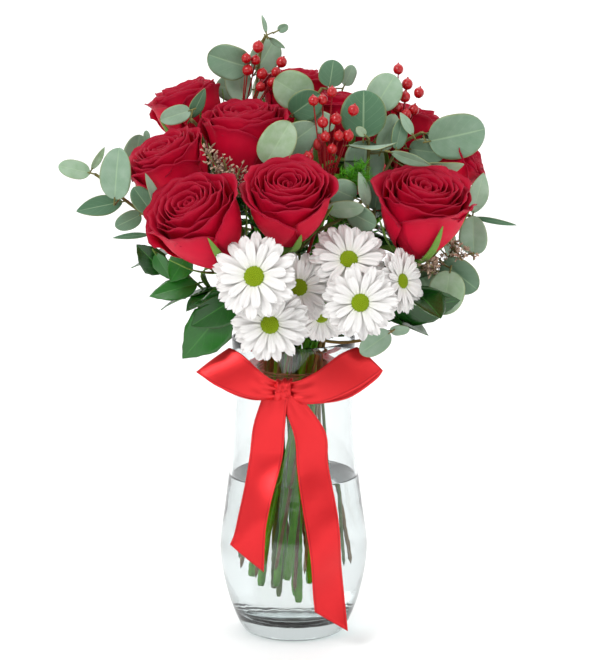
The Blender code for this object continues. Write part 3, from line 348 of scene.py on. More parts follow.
def clear_through(name, tint, ior, bump_size, strength, depth=0.0, edges=0.0):
    """Clear glass or water: light goes through it, and lamps reach what stands inside. The glass's
    depth tints the light through it grey, and where it is seen edge on its colour is also
    painted grey: painted shade that stands in for the dark edges of thick glass."""
    mat = new_material(name)
    place = add_node(mat, "TexCoord", out="Object")
    ripple = add_node(mat, "TexNoise", {"Vector": place, "Scale": 1 / bump_size, "Detail": 1.0})
    normal = add_node(mat, "Bump", {"Height": ripple, "Strength": strength,
                                    "Distance": 0.5 * MM})
    # Painted shade: the colour turns grey as the surface turns away from the view, standing in for
    # the dark edges of thick glass.
    facing = add_node(mat, "LayerWeight", {"Blend": 0.5}, out="Facing")
    edge = add_node(mat, "Math", {0: facing, 1: 2.4}, operation="POWER", use_clamp=True)
    edge = add_node(mat, "Math", {0: edge, 1: edges}, operation="MULTIPLY")
    body = add_node(mat, "Mix", {0: edge, 6: rgba(tint), 7: rgba("84949A")}, out=2,
                    data_type="RGBA")
    clear = add_node(mat, "BsdfPrincipled", {
        "Base Color": body, "Roughness": 0.0, "IOR": ior, "Transmission Weight": 1.0,
        "Specular IOR Level": 0.25, "Normal": normal})
    let_by = add_node(mat, "BsdfTransparent", {"Color": rgba("F4F7F7")})
    lamps = add_node(mat, "LightPath", out="Is Shadow Ray")
    ends = {"Surface": add_node(mat, "MixShader", {0: lamps, 1: clear, 2: let_by})}
    if depth:
        ends["Volume"] = add_node(mat, "VolumeAbsorption", {"Color": rgba("B4C4C4"),
                                                            "Density": depth})
    add_node(mat, "OutputMaterial", ends)
    return mat


def dried_bract_papery():
    """Dried limonium, papery: pale straw bracts on thin brown twigs, matt all over."""
    mat = new_material("dried_bract_papery")
    tone = add_node(mat, "Attribute", out="Fac", attribute_name="tone")
    place = add_node(mat, "TexCoord", out="Object")
    mottle = add_node(mat, "TexNoise", {"Vector": place, "Scale": 1 / (2 * MM), "Detail": 3.0})
    grain = add_node(mat, "TexNoise", {"Vector": place, "Scale": 1 / (0.8 * MM), "Detail": 3.0})
    body = add_node(mat, "Mix", {0: tone, 6: rgba("4E3A2C"), 7: rgba("C8AE92")}, out=2,
                    data_type="RGBA")
    patches = add_node(mat, "Math", {0: mottle, 1: 0.5}, operation="MULTIPLY")
    body = add_node(mat, "Mix", {0: patches, 6: body, 7: rgba("9A7A70")}, out=2,
                    data_type="RGBA")
    normal = add_node(mat, "Bump", {"Height": grain, "Strength": 0.4, "Distance": 0.3 * MM})
    shader = add_node(mat, "BsdfPrincipled", {"Base Color": body, "Roughness": 0.85,
                                              "Normal": normal})
    add_node(mat, "OutputMaterial", {"Surface": shader})
    return mat


def studio_paper_matt():
    """Seamless studio paper, uncoated: matt and almost white, with a faint tooth."""
    mat = new_material("studio_paper_matt")
    place = add_node(mat, "TexCoord", out="Object")
    tooth = add_node(mat, "TexNoise", {"Vector": place, "Scale": 1 / (1.5 * MM),
                                       "Detail": 3.0})
    body = add_node(mat, "Mix", {0: tooth, 6: rgba("FAFAFA"), 7: rgba("F6F6F6")}, out=2,
                    data_type="RGBA")
    normal = add_node(mat, "Bump", {"Height": tooth, "Strength": 0.05, "Distance": 0.3 * MM})
    shader = add_node(mat, "BsdfPrincipled", {"Base Color": body, "Roughness": 0.9,
                                              "Normal": normal})
    add_node(mat, "OutputMaterial", {"Surface": shader})
    return mat


def studio_room():
    """A white studio room, bright above and behind, and darker from where one looks."""
    world = bpy.data.worlds.new("studio_room")
    world.use_nodes = True
    world.node_tree.nodes.clear()
    way = add_node(world, "TexCoord", out="Generated")
    back = add_node(world, "SeparateXYZ", {0: way}, out="Y")
    high = add_node(world, "SeparateXYZ", {0: way}, out="Z")
    level = add_node(world, "Math", {0: back, 1: 0.5, 2: 0.62}, operation="MULTIPLY_ADD")
    level = add_node(world, "Math", {0: high, 1: 0.6, 2: level}, operation="MULTIPLY_ADD",
                     use_clamp=True)
    level = add_node(world, "Math", {0: level, 1: 0.78, 2: 0.22}, operation="MULTIPLY_ADD")
    light = add_node(world, "Background", {"Color": (1, 1, 1, 1), "Strength": level})
    add_node(world, "OutputWorld", {"Surface": light})
    return world


def set_of_materials(colours):
    """Every finish in the bouquet, by the name that the pieces ask for."""
    return {
        "rose": rose_petal_velvet(colours),
        "daisy": chrysanthemum_petal_matte(colours),
        "disc": disc_floret_waxy(colours),
        "berry": berry_skin_waxed(colours),
        "ribbon": red_satin_woven(colours),
        "twine": jute_twine_twisted(),
        # The glass's last number is the share of painted edge shade.
        "glass": clear_through("soda_lime_glass_blown", "F0F3F3", 1.5, 60 * MM, 0.05,
                               7.0, 0.5),
        "water": clear_through("still_water", "F2F4F4", 1.333, 9 * MM, 0.35),
        "rose_stem": plant_green("rose_stem_fresh_cut", "7CC410", "2F8204", 9 * MM, 0.42, 0.35),
        "sepal": plant_green("sepal_fresh_matte", "86A84A", "4E7A2C", 6 * MM, 0.55, 0.3),
        "daisy_stem": plant_green("chrysanthemum_stem_ribbed", "6E8A3C", "40591F", 8 * MM, 0.55,
                                  0.5),
        "twig": plant_green("eucalyptus_twig_bark", "86864E", "5E5630", 7 * MM, 0.7, 0.6,
                            "8A6C3A"),
        "berry_stalk": plant_green("berry_stalk_smooth", "B4262A", "7E1A1C", 8 * MM, 0.45, 0.2,
                                   "7A6434"),
        "eucalyptus": leaf_cuticle("eucalyptus_leaf_waxy_bloom", "86A688", "426C4C", "A0BC94",
                                   "8C8E50", 0.5, 0.1, 0.8, 0.7, "628A38"),
        "eucalyptus_under": leaf_cuticle("eucalyptus_leaf_underside", "8EA890", "4C6E54",
                                         "B0C2A8", "A0905C", 0.7, 0.0, 0.8, 0.7),
        "glossy": leaf_cuticle("glossy_leaf_cuticle", "1C7410", "062804", "3A8228", "34501A",
                               0.26, 0.3, 1.0),
        "glossy_under": leaf_cuticle("glossy_leaf_underside", "4C8A40", "2F5F2A", "7FB070",
                                     "5A6A30", 0.55, 0.0, 1.0),
        "fern": plant_green("fern_needle_fresh", "74C82A", "2F7A14", 3 * MM, 0.5, 0.2),
        "dried": dried_bract_papery(),
        "paper": studio_paper_matt(),
    }


# ---------------------------------------------------------------- meshes


class Skin:
    """Faces gathered for one mesh. Each point keeps where it lies across (-1 to 1) and along
    its petal or leaf, and a tone that tells one petal from the next; on the roses the tone is
    also painted light and shade, higher for the inner petals and lower for the outer ones."""

    def __init__(self):
        self.spots, self.faces, self.kinds = [], [], []
        self.marks = {mark: [] for mark in MARKS}

    def point(self, spot, across=0.0, along=0.0, tone=0.5):
        self.spots.append(spot)
        for mark, value in zip(MARKS, (across, along, tone)):
            self.marks[mark].append(value)

    def face(self, corners, kind):
        self.faces.append(corners)
        self.kinds.append(kind)

    def sheet(self, place, across, along, tone=0.5, kind=0, scale=1.0):
        """A curved sheet, place(u, v) with u from -1 to 1 and v from 0 to 1."""
        first = len(self.spots)
        for j in range(along + 1):
            for i in range(across + 1):
                u, v = 2 * i / across - 1, j / along
                self.point(place(u, v), u, v * scale, tone)
        row = across + 1
        for j in range(along):
            for i in range(across):
                a = first + j * row + i
                self.face((a, a + row, a + 1 + row, a + 1), kind)

    def joined_rings(self, first, rings, sides, kind):
        """Faces between the rings of points laid from the first on, and over both ends."""
        for low in range(first, first + (rings - 1) * sides, sides):
            for i in range(sides):
                j = (i + 1) % sides
                self.face((low + i, low + j, low + sides + j, low + sides + i), kind)
        last = first + (rings - 1) * sides
        self.face(tuple(first + i for i in reversed(range(sides))), kind)
        self.face(tuple(last + i for i in range(sides)), kind)

    def turned(self, outline, sides, place=Matrix(), kind=0, tone=0.5):
        """A turned solid from its outline, up the outside, as radius and height."""
        first = len(self.spots)
        for k, (radius, height) in enumerate(outline):
            for i in range(sides):
                turn = math.tau * i / sides
                spot = Vector((radius * math.cos(turn), radius * math.sin(turn), height))
                self.point(place @ spot, 2 * i / sides - 1, k / (len(outline) - 1), tone)
        self.joined_rings(first, len(outline), sides, kind)

    def rod(self, points, radii, sides, kind=0, tone=0.5):
        """A round bar along a line, of the radius given at each point."""
        first = len(self.spots)
        tangent = (points[1] - points[0]).normalized()
        side = tangent.orthogonal().normalized()
        for k, (point, radius) in enumerate(zip(points, radii)):
            bend = points[min(k + 1, len(points) - 1)] - points[max(k - 1, 0)]
            bend.normalize()
            side = tangent.rotation_difference(bend) @ side
            tangent = bend
            other = tangent.cross(side)
            for i in range(sides):
                turn = math.tau * i / sides
                spoke = side * math.cos(turn) + other * math.sin(turn)
                self.point(point + spoke * radius, 2 * i / sides - 1, k / (len(points) - 1), tone)
        self.joined_rings(first, len(points), sides, kind)

    def mesh(self, name):
        made = bpy.data.meshes.new(name)
        made.from_pydata([tuple(s) for s in self.spots], [], self.faces)
        made.polygons.foreach_set("material_index", self.kinds)
        for mark, values in self.marks.items():
            made.attributes.new(mark, "FLOAT", "POINT").data.foreach_set("value", values)
        made.shade_smooth()
        made.update()
        return made


def add_piece(name, mesh, mats, node, thickness=0.0, under=0, offset=0.0):
    """A finished piece that stands for a node; thin sheets get their thickness, and their
    underside may have another of the materials."""
    made = bpy.data.objects.new(name, mesh)
    bpy.context.scene.collection.objects.link(made)
    for mat in mats:
        mesh.materials.append(mat)
    if thickness:
        solid = made.modifiers.new("thickness", "SOLIDIFY")
        solid.thickness = thickness
        solid.offset = offset
        solid.material_offset = under
        solid.material_offset_rim = 0
    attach(made, BODY)
    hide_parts(node)
    return made


def welded(node):
    """A node's mesh with its triangles' shared corners joined."""
    work = bmesh.new()
    work.from_mesh(NODES[node].data)
    bmesh.ops.remove_doubles(work, verts=work.verts, dist=1e-6)
    return work


def welded_points(node):
    work = welded(node)
    spots = [v.co.copy() for v in work.verts]
    work.free()
    return spots


def frame_copy(node):
    """A node's mesh with its triangles joined back into whole flat faces."""
    work = welded(node)
    bmesh.ops.dissolve_limit(work, angle_limit=math.radians(0.5), verts=work.verts,
                             edges=work.edges)
    work.faces.ensure_lookup_table()
    return work


def spread_of(spots):
    """The middle of the points, and how they spread, as a matrix."""
    middle = sum(spots, Vector()) / len(spots)
    rows = [[sum((s[i] - middle[i]) * (s[j] - middle[j]) for s in spots) / len(spots)
             for j in range(3)] for i in range(3)]
    return middle, Matrix(rows)


def turned_frame(node, flat):
    """A turned blank's frame and size: its axis is the one direction in which its points
    spread differently, the least of the three if it is flat, and the most if it is tall."""
    spots = welded_points(node)
    middle, spread = spread_of(spots)
    if flat:
        spread = spread.inverted()
    axis = Vector((0.3, 0.5, 0.8))
    for _turn in range(200):
        axis = (spread @ axis).normalized()
    heights = [(s - middle).dot(axis) for s in spots]
    reach = [(s - middle - axis * h).length for s, h in zip(spots, heights)]
    radius = max(reach)
    wide = sum(h for h, r in zip(heights, reach) if r > radius * 0.97)
    wide /= sum(1 for r in reach if r > radius * 0.97)
    low, high = min(heights), max(heights)
    if wide - low < high - wide:
        axis, low, wide = -axis, -high, -wide
    turn = UP.rotation_difference(axis).to_matrix().to_4x4()
    return Matrix.Translation(middle + axis * low) @ turn, radius


# ---------------------------------------------------------------- stems and twigs


def smooth_copy(work, name, mats, node, levels=2, fuller=0.2 * MM):
    """The rest of a copied node as round wood or stem, its cut ends kept crisp. Rounding a
    six-sided bar thins it, so it is made fuller first."""
    sharp = math.radians(65)       # only cut ends turn as sharply as this
    work.normal_update()
    for vert, out in [(v, v.normal.copy()) for v in work.verts]:
        vert.co += out * fuller
    crease = work.edges.layers.float.new("crease_edge")
    for edge in work.edges:
        if len(edge.link_faces) == 2 and edge.calc_face_angle(0.0) > sharp:
            edge[crease] = 0.8
    mesh = bpy.data.meshes.new(name)
    work.to_mesh(mesh)
    work.free()
    mesh.materials.clear()
    mesh.shade_smooth()
    made = add_piece(name, mesh, mats, node)
    rounded = made.modifiers.new("rounded", "SUBSURF")
    rounded.levels = rounded.render_levels = levels
    return made


def strip_zone(work, gone):
    """Deletes the faces for which gone(corners) is true, and what is left loose."""
    dead = [f for f in work.faces if gone([v.co for v in f.verts])]
    bmesh.ops.delete(work, geom=dead, context="FACES")
    loose = [v for v in work.verts if not v.link_faces]
    bmesh.ops.delete(work, geom=loose, context="VERTS")


# ---------------------------------------------------------------- roses


def rose_petal(diameter, share, turn, draw, open_out):
    """One petal: share is 0 for the innermost and 1 for the outermost. Inner ones roll round
    each other, outer ones stand as a smooth goblet, and each rim curls back to a point."""
    reach = diameter * (0.045 + 0.415 * share ** 0.85)
    top = diameter * (0.85 + 0.09 * math.sin(math.pi * share ** 0.9))
    wrap = math.radians(128 - 60 * share ** 0.7)
    root = diameter * (0.03 + 0.09 * share)
    curl = diameter * (0.012 + 0.070 * share ** 1.5) * open_out * draw.uniform(0.7, 1.3)
    tuck = diameter * 0.045 * (1 - share)
    rough = diameter * (0.012 + 0.040 * share)
    lift = draw.uniform(-0.03, 0.02) * diameter
    sway = draw.uniform(-0.5, 0.5)
    seed = draw.uniform(0, 90)

    def place(u, v):
        body = math.sin(math.pi / 2 * min(1.0, v / 0.76)) ** 0.8
        rim = max(0.0, (v - 0.74) / 0.26)
        wide = wrap * (0.55 + 0.45 * math.sin(math.pi / 2 * min(1.0, v * 1.2)))
        angle = turn + wide * u + 0.12 * sway * rim
        edge = abs(u) ** 3
        point = max(0.0, 1 - 2.4 * abs(u - 0.15 * sway)) * rim ** 1.5 * share
        wave = noise.noise(Vector((u * (2 + 3 * share), v * 1.5, seed)))
        radius = root + (reach - root) * body + diameter * 0.016 * u
        radius += curl * rim ** 1.6 * (1 - 0.3 * edge) - tuck * rim
        radius += rough * wave * (0.08 * v + rim)
        radius += curl * 0.12 * edge * rim + diameter * (0.02 * point - 0.012 * edge)
        height = (top + lift) * v ** 0.95
        height -= diameter * (0.04 + 0.16 * share) * edge * v ** 2
        height -= curl * 0.55 * rim ** 2.4
        height += rough * 0.9 * rim * noise.noise(Vector((u * 4, v, seed + 40)))
        height += diameter * 0.030 * point
        return Vector((radius * math.cos(angle), radius * math.sin(angle), height))
    return place


def rose_bloom(name, mats, sizes, draw):
    """A rose's petals, turned round each other by the golden angle from the heart outwards."""
    base, radius = turned_frame(name, flat=False)
    diameter = radius / ROSE_WIDE
    skin = Skin()
    open_out = draw.uniform(0.85, 1.2)
    start = draw.uniform(0, math.tau)
    for i in range(sizes.rose_petals):
        share = i / (sizes.rose_petals - 1)
        turn = start + i * GOLDEN_TURN
        petal = rose_petal(diameter, share, turn, draw, open_out)
        # The tone is partly random and partly painted light and shade: lighter for the inner
        # petals, darker for the outer ones.
        tone = 0.25 + 0.35 * draw.random() + 0.4 * (1 - share)
        skin.sheet(lambda u, v: base @ petal(u, v), 22, 16, tone)
    add_piece(name + "_petals", skin.mesh(name + "_petals"), [mats["rose"]], name,
              sizes.petal_thickness)
    return base, diameter


def hugging_sepal(diameter, rise):
    """A sepal that lies up along the outer petals and turns out at its tip."""
    def place(u, v):
        height = diameter * (-0.075 + rise * v)
        share = min(1.0, max(0.0, (height / diameter + 0.05) / 0.66))
        reach = diameter * (0.115 + 0.365 * math.sin(math.pi / 2 * share) ** 0.8) + 0.9 * MM
        reach += diameter * 0.05 * max(0.0, v - 0.7) ** 1.5 * 4
        half = diameter * 0.048 * math.sin(math.pi * (0.2 + 0.79 * v)) ** 0.8
        turn = u * half / reach
        return Vector((reach * math.cos(turn), reach * math.sin(turn), height))
    return place


def sepal_blade(length, droop, curl):
    """A sepal that stands off below the bloom and curls down."""
    def place(u, v):
        half = length * 0.11 * (math.sin(math.pi * min(1.0, 0.30 + 0.70 * v)) ** 0.8 + 0.02)
        run = length * v
        down = droop * v + curl * v * v
        hollow = abs(u) * half * 0.3
        return Vector((run * math.cos(down), half * u, -run * math.sin(down) + hollow))
    return place


def rose_foliage(name, mats, base, diameter, draw):
    """The leaves left on a rose's stem below its bloom, dark and toothed, in threes."""
    spots = welded_points(name)
    skin = Skin()
    start = draw.uniform(0, math.tau)
    for k in range(5):
        target = base @ Vector((0, 0, -diameter * (0.32 + 0.24 * k)))
        root = min(spots, key=lambda s: (s - target).length)
        turn = start + k * 2.3
        out = base.to_3x3() @ Vector((math.cos(turn), math.sin(turn), draw.uniform(0.1, 0.7)))
        out.z = max(out.z, -0.15)
        out.normalize()
        up = (UP - out * out.z).normalized()
        side = up.cross(out)
        for spread, share in ((0.0, 1.0), (0.9, 0.72), (-0.9, 0.72)):
            along = (out * math.cos(spread) + side * math.sin(spread) - UP * 0.25).normalized()
            rising = (UP - along * along.z).normalized()
            place = Matrix((along, rising.cross(along), rising)).transposed().to_4x4()
            place.translation = root + out * diameter * (0.18 if spread else 0.26)
            length = diameter * draw.uniform(0.56, 0.76) * share
            blade = leaf_blade(length, length * 0.62, draw, True, True)
            skin.sheet(lambda u, v: place @ blade(u, v), 8, 12, draw.uniform(0.0, 0.6))
        skin.rod([root, root + out * diameter * 0.14, root + out * diameter * 0.28],
                 [0.8 * MM, 0.6 * MM, 0.5 * MM], 6, kind=2)
    add_piece(name + "_leaves", skin.mesh(name + "_leaves"),
              [mats["glossy"], mats["glossy_under"], mats["rose_stem"]], name,
              BLADE_THICKNESS, under=1)


def rose_stem(name, mats, base, diameter, draw):
    """The stem below the bloom, with its green cup and five sepals."""
    work = frame_copy(name)
    back = base.inverted()
    cup_low = -0.1705 * diameter

    def gone(corners):
        local = [back @ c for c in corners]
        if min(c.z for c in local) > cup_low:
            return True
        near = all(c.z > -0.45 * diameter for c in local)
        return near and min(math.hypot(c.x, c.y) for c in local) > 3.3 * MM
    strip_zone(work, gone)
    smooth_copy(work, name + "_stalk", [mats["rose_stem"]], name, 2,
                0.4 * MM)
    skin = Skin()
    cup = [(0.040, -0.185), (0.062, -0.165), (0.105, -0.115), (0.125, -0.06), (0.12, 0.0)]
    skin.turned([(r * diameter, h * diameter) for r, h in cup], 16, base, tone=0.5)
    for i in range(5):
        spoke = Matrix.Rotation(math.tau * i / 5 + draw.uniform(-0.2, 0.2), 4, "Z")
        root = Matrix.Translation((0.10 * diameter, 0, -0.075 * diameter))
        if draw.random() < 0.8:
            blade = hugging_sepal(diameter, draw.uniform(0.55, 0.80))
            skin.sheet(lambda u, v: base @ spoke @ blade(u, v), 4, 14)
        else:
            blade = sepal_blade(diameter * draw.uniform(0.42, 0.62), draw.uniform(-0.3, 0.4),
                                draw.uniform(0.1, 0.8))
            skin.sheet(lambda u, v: base @ spoke @ root @ blade(u, v), 4, 10)
    add_piece(name + "_calyx", skin.mesh(name + "_calyx"), [mats["sepal"]], name,
              SEPAL_THICKNESS)


# ---------------------------------------------------------------- chrysanthemums


def ray_petal(reach, start, half, rise, droop, draw):
    """A ray petal from the disc outwards: spoon-shaped, grooved, with a blunt notched tip."""
    twist = draw.uniform(-0.25, 0.25)
    sway = draw.uniform(-0.06, 0.06)
    notch = draw.uniform(0.0, 1.3)

    def place(u, v):
        run = reach - start
        shape = 0.38 + 0.62 * math.sin(math.pi / 2 * min(1.0, v / 0.6)) ** 1.2
        if v > 0.76:
            shape *= math.sqrt(max(0.0, 1 - ((v - 0.76) / 0.245) ** 2))
        y = half * shape * u + sway * run * v * v
        x = start + run * v - run * 0.035 * notch * math.cos(u * 2.2) * max(0.0, v - 0.85) * 6
        z = run * (math.sin(rise) * v - droop * v * v)
        z += half * (0.30 * u * u - 0.10 * math.cos(u * math.pi * 2)) * (0.4 + 0.6 * v)
        z += y * twist * v
        return Vector((x, y, z))
    return place


def daisy_bloom(name, mats, sizes, draw):
    """A head: three rings of ray petals, and its disc of packed buds over a green calyx."""
    base, radius = turned_frame(name, flat=True)
    diameter = radius / DAISY_WIDE
    heart = base @ Matrix.Translation((0, 0, DAISY_BACK * diameter))
    closed = max(0.0, 50 * MM - diameter) / (50 * MM)
    skin = Skin()
    layers = ((sizes.ray_petals, 0.505, -0.02, 0.06), (sizes.ray_petals - 2, 0.485, 0.16, 0.14),
              (sizes.ray_petals - 6, 0.40, 0.42, 0.22))
    for k, (count, reach, rise, droop) in enumerate(layers):
        for i in range(count):
            turn = Matrix.Rotation(math.tau * (i + 0.5 * k) / count + draw.uniform(-0.09, 0.09),
                                   4, "Z")
            far = reach * diameter * draw.uniform(0.90, 1.03)
            half = diameter * 0.072 * draw.uniform(0.88, 1.1) * (1 - 0.12 * k)
            blade = ray_petal(far, 0.075 * diameter, half,
                              rise + 2.2 * closed + draw.uniform(-0.09, 0.09),
                              droop + draw.uniform(-0.05, 0.05), draw)
            lift = Matrix.Translation((0, 0, (0.004 + 0.010 * k) * diameter))
            skin.sheet(lambda u, v: heart @ turn @ lift @ blade(u, v), 8, 12,
                       draw.uniform(0.3, 0.7))
    add_piece(name + "_petals", skin.mesh(name + "_petals"), [mats["daisy"]], name,
              RAY_THICKNESS)
    centre = Skin()
    disc = 0.112 * diameter
    dome = [(disc * math.cos(a), disc * (0.16 + 0.52 * math.sin(a)))
            for a in (math.radians(x) for x in range(-20, 90, 12))]
    centre.turned(dome, 24, heart)
    count = sizes.disc_florets
    for i in range(count):
        share = math.sqrt((i + 0.5) / count)
        turn = i * GOLDEN_TURN
        fall = math.asin(min(1.0, share * 0.98))
        out = Vector((math.sin(fall) * math.cos(turn), math.sin(fall) * math.sin(turn),
                      math.cos(fall) * 0.8))
        spot = Vector((out.x * disc, out.y * disc, disc * (0.16 + 0.52 * math.cos(fall))))
        bud = heart @ Matrix.Translation(spot) @ UP.rotation_difference(out).to_matrix().to_4x4()
        size = disc * 0.12 * (1.0 + 0.25 * share)
        centre.turned([(size, -0.2 * size), (size * 0.95, 0.5 * size), (size * 0.45, 1.1 * size),
                       (size * 0.1, 1.2 * size)], 6, bud, tone=share)
    calyx = [(0.055, -0.12), (0.10, -0.10), (0.155, -0.055), (0.16, -0.005), (0.10, 0.0)]
    centre.turned([(r * diameter, h * diameter) for r, h in calyx], 18, heart, kind=1)
    add_piece(name + "_disc", centre.mesh(name + "_disc"), [mats["disc"], mats["sepal"]],
              name)


# ---------------------------------------------------------------- leaves


def area_centre(face):
    """A flat face's centre by its area."""
    corners = [v.co for v in face.verts]
    total, found = 0.0, Vector()
    for a, b in zip(corners[1:], corners[2:]):
        share = (a - corners[0]).cross(b - corners[0]).dot(face.normal)
        total += share
        found += (corners[0] + a + b) * share / 3
    return found / total


def leaf_side(face):
    """A side of a leaf blank: where its stub ends, the way to its tip and how wide it is."""
    corners = [v.co for v in face.verts]
    middle = area_centre(face)
    paired = [c for c in corners if any(0 < (c - d).length < 2.2 * MM for d in corners)]
    stub = max(paired or corners, key=lambda c: (c - middle).length)
    along = middle - stub
    along = (along - face.normal * along.dot(face.normal)).normalized()
    across = face.normal.cross(along)
    length = max((c - stub).dot(along) for c in corners)
    widths = [(c - stub).dot(across) for c in corners]
    return stub, along, length, max(widths) - min(widths)


def leaf_plates(work):
    """The flat leaf blanks in a copied node, each as its frame, with its tip along +X and its
    upper side to +Z, its length and its width. Each has two wide faces one leaf thickness
    apart, of which the narrower is the upper side."""
    wide = [f for f in work.faces if len(f.verts) >= 9 and f.calc_area() > 8 * MM * MM]
    found = []
    for face in sorted(wide, key=lambda f: abs(len(f.verts) - 11)):
        stub, along, length, width = leaf_side(face)
        if width < 3.2 * MM or not 0.5 < face.calc_area() / (length * width) < 0.9:
            continue
        middle = area_centre(face)
        if any(in_blank([middle], plate) for plate in found):
            continue
        up = face.normal.copy()
        for other in wide:
            gap = middle - area_centre(other)
            through = gap.dot(up)
            if (other.normal.dot(up) < -0.999 and abs(through - LEAF_THICKNESS) < 0.1 * MM
                    and (gap - up * through).length < 3 * MM and leaf_side(other)[3] < width):
                up = -up
                break
        place = Matrix((along, up.cross(along), up)).transposed().to_4x4()
        place.translation = stub + along * LEAF_STUB - face.normal * LEAF_THICKNESS / 2
        found.append((place, (length - LEAF_STUB) / 0.99, width / 0.95))
    return found


def in_blank(corners, plate):
    """True for points that all lie in a leaf blank or on its skin."""
    place, length, width = plate
    back = place.inverted()
    return all(abs(c.z) < 0.75 * MM and -LEAF_STUB - 2.8 * MM < c.x < length * 1.04
               and abs(c.y) < width * 0.54 for c in (back @ c for c in corners))


def leaf_blade(length, width, draw, pointed, toothed):
    """A leaf's surface: folded a little along its midrib, bent along its length, wavy at the
    rim, with a drawn-out tip and teeth where its kind has them."""
    fold = draw.uniform(0.04, 0.20)
    bend = draw.uniform(-0.10, 0.34)
    wave = draw.uniform(0.01, 0.035) * width
    phase = draw.uniform(0, math.tau)
    slender = width / length < 0.5

    def place(u, v):
        v = 0.5 - 0.5 * math.cos(math.pi * v)
        if pointed:
            shape = math.sin(math.pi * min(1.0, v ** 0.72)) ** 0.85
        elif slender:
            shape = math.sin(math.pi * v ** 0.85) ** 0.75
        else:
            shape = math.sqrt(max(0.0, 1 - abs(2 * v ** 0.92 - 1) ** 2.2))
        half = width / 2 * shape
        if toothed and abs(u) > 0.95:
            half *= 1 + 0.05 * math.sin(v * 46)
        x, y = length * v * 0.99, half * u
        z = fold * abs(y) - bend * length * (v - 0.4) ** 2 * 0.6
        z += wave * abs(u) ** 2 * math.sin(v * 9 + phase + (1.3 if u > 0 else 0.0))
        return Vector((x, y, z))
    return place


def sprig(node, mats, kind, wood, draw, pointed=False):
    """A twig with its leaves: the wood rounded from the frame, each leaf cut anew."""
    work = frame_copy(node)
    plates = leaf_plates(work)
    skin = Skin()
    for place, length, width in plates:
        blade = leaf_blade(length, width, draw, pointed, pointed)
        cells = 12 if length > 18 * MM else 8
        skin.sheet(lambda u, v: place @ blade(u, v), cells, cells + 4, draw.uniform(0.0, 1.0))
        stalk = [place @ Vector((x * MM, 0, z * MM)) for x, z in ((-4.6, 0), (-2, -0.1), (1.5, 0))]
        skin.rod(stalk, [0.55 * MM, 0.5 * MM, 0.35 * MM], 6, kind=2)
    strip_zone(work, lambda corners: any(in_blank(corners, plate) for plate in plates))
    smooth_copy(work, node + "_wood", [mats[wood]], node, 1)
    if skin.spots:
        add_piece(node + "_leaves", skin.mesh(node + "_leaves"),
                  [mats[kind], mats[kind + "_under"], mats[wood]], node,
                  BLADE_THICKNESS, under=1)


# ---------------------------------------------------------------- berries


def pod_tips(work):
    """Each pod's tip and direction, from the small six-cornered face that ends it."""
    found = []
    for face in work.faces:
        if len(face.verts) != 6:
            continue
        middle = face.calc_center_median()
        if all(abs((v.co - middle).length - POD_TIP_RADIUS) < 0.06 * MM for v in face.verts):
            found.append((middle, face.normal.copy()))
    return found


def berry_sprig(node, mats, draw):
    """A spray's pointed berries, round on the frame's pods, and its stalks."""
    work = frame_copy(node)
    tips = pod_tips(work)
    if not tips:
        raise RuntimeError(f"{node} has no pods")
    skin = Skin()
    for tip, direction in tips:
        turn = UP.rotation_difference(direction).to_matrix().to_4x4()
        place = Matrix.Translation(tip - direction * POD_LENGTH) @ turn
        size = draw.uniform(0.88, 1.05)
        outline = [(0.5, 0.2), (1.9, 0.5), (3.3, 1.6), (4.05, 3.2), (4.2, 4.7), (3.8, 6.4),
                   (2.8, 7.7), (1.6, 8.5), (0.85, 8.9), (0.6, 9.6), (0.3, 10.0)]
        skin.turned([(r * MM * size, h * MM * size) for r, h in outline], 20, place)

    def gone(corners):
        return any(all((c - tip).dot(direction) > -POD_LENGTH * 0.99 and
                       (c - tip).length < POD_LENGTH * 1.2 and
                       ((c - tip) - direction * (c - tip).dot(direction)).length < POD_RADIUS
                       for c in corners) for tip, direction in tips)
    strip_zone(work, gone)
    smooth_copy(work, node + "_stalks", [mats["berry_stalk"]], node, 1)
    add_piece(node + "_berries", skin.mesh(node + "_berries"), [mats["berry"]], node)


# ---------------------------------------------------------------- fine fillers


def surface_points(node, above, count, draw):
    """Points on a node's upper twigs, each with the way out from the wood."""
    faces = [f for f in NODES[node].data.polygons if f.center.z > above]
    weights = [f.area for f in faces]
    spots = NODES[node].data.vertices
    found = []
    for face in draw.choices(faces, weights, k=count):
        a, b, c = (spots[i].co for i in face.vertices[:3])
        s, t = sorted((draw.random(), draw.random()))
        found.append((a * s + b * (t - s) + c * (1 - t), face.normal.copy()))
    return found


def fern_sprig(node, mats, draw):
    """Asparagus fern: fine bright needles, scattered over the top of its twigs."""
    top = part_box(node)[1].z
    skin = Skin()
    for spot, out in surface_points(node, top - 50 * MM, 1300, draw):
        way = (out + UP * 0.5 + Vector([draw.uniform(-0.6, 0.6) for _ in range(3)])).normalized()
        length = draw.uniform(4, 8.5) * MM
        bend = Vector([draw.uniform(-0.2, 0.2) for _ in range(3)]) * length
        skin.rod([spot, spot + way * length * 0.55 + bend * 0.4, spot + way * length + bend],
                 [0.22 * MM, 0.2 * MM, 0.05 * MM], 3, tone=draw.random())
    smooth_copy(frame_copy(node), node + "_twigs", [mats["fern"]], node, 1)
    add_piece(node + "_needles", skin.mesh(node + "_needles"), [mats["fern"]], node)


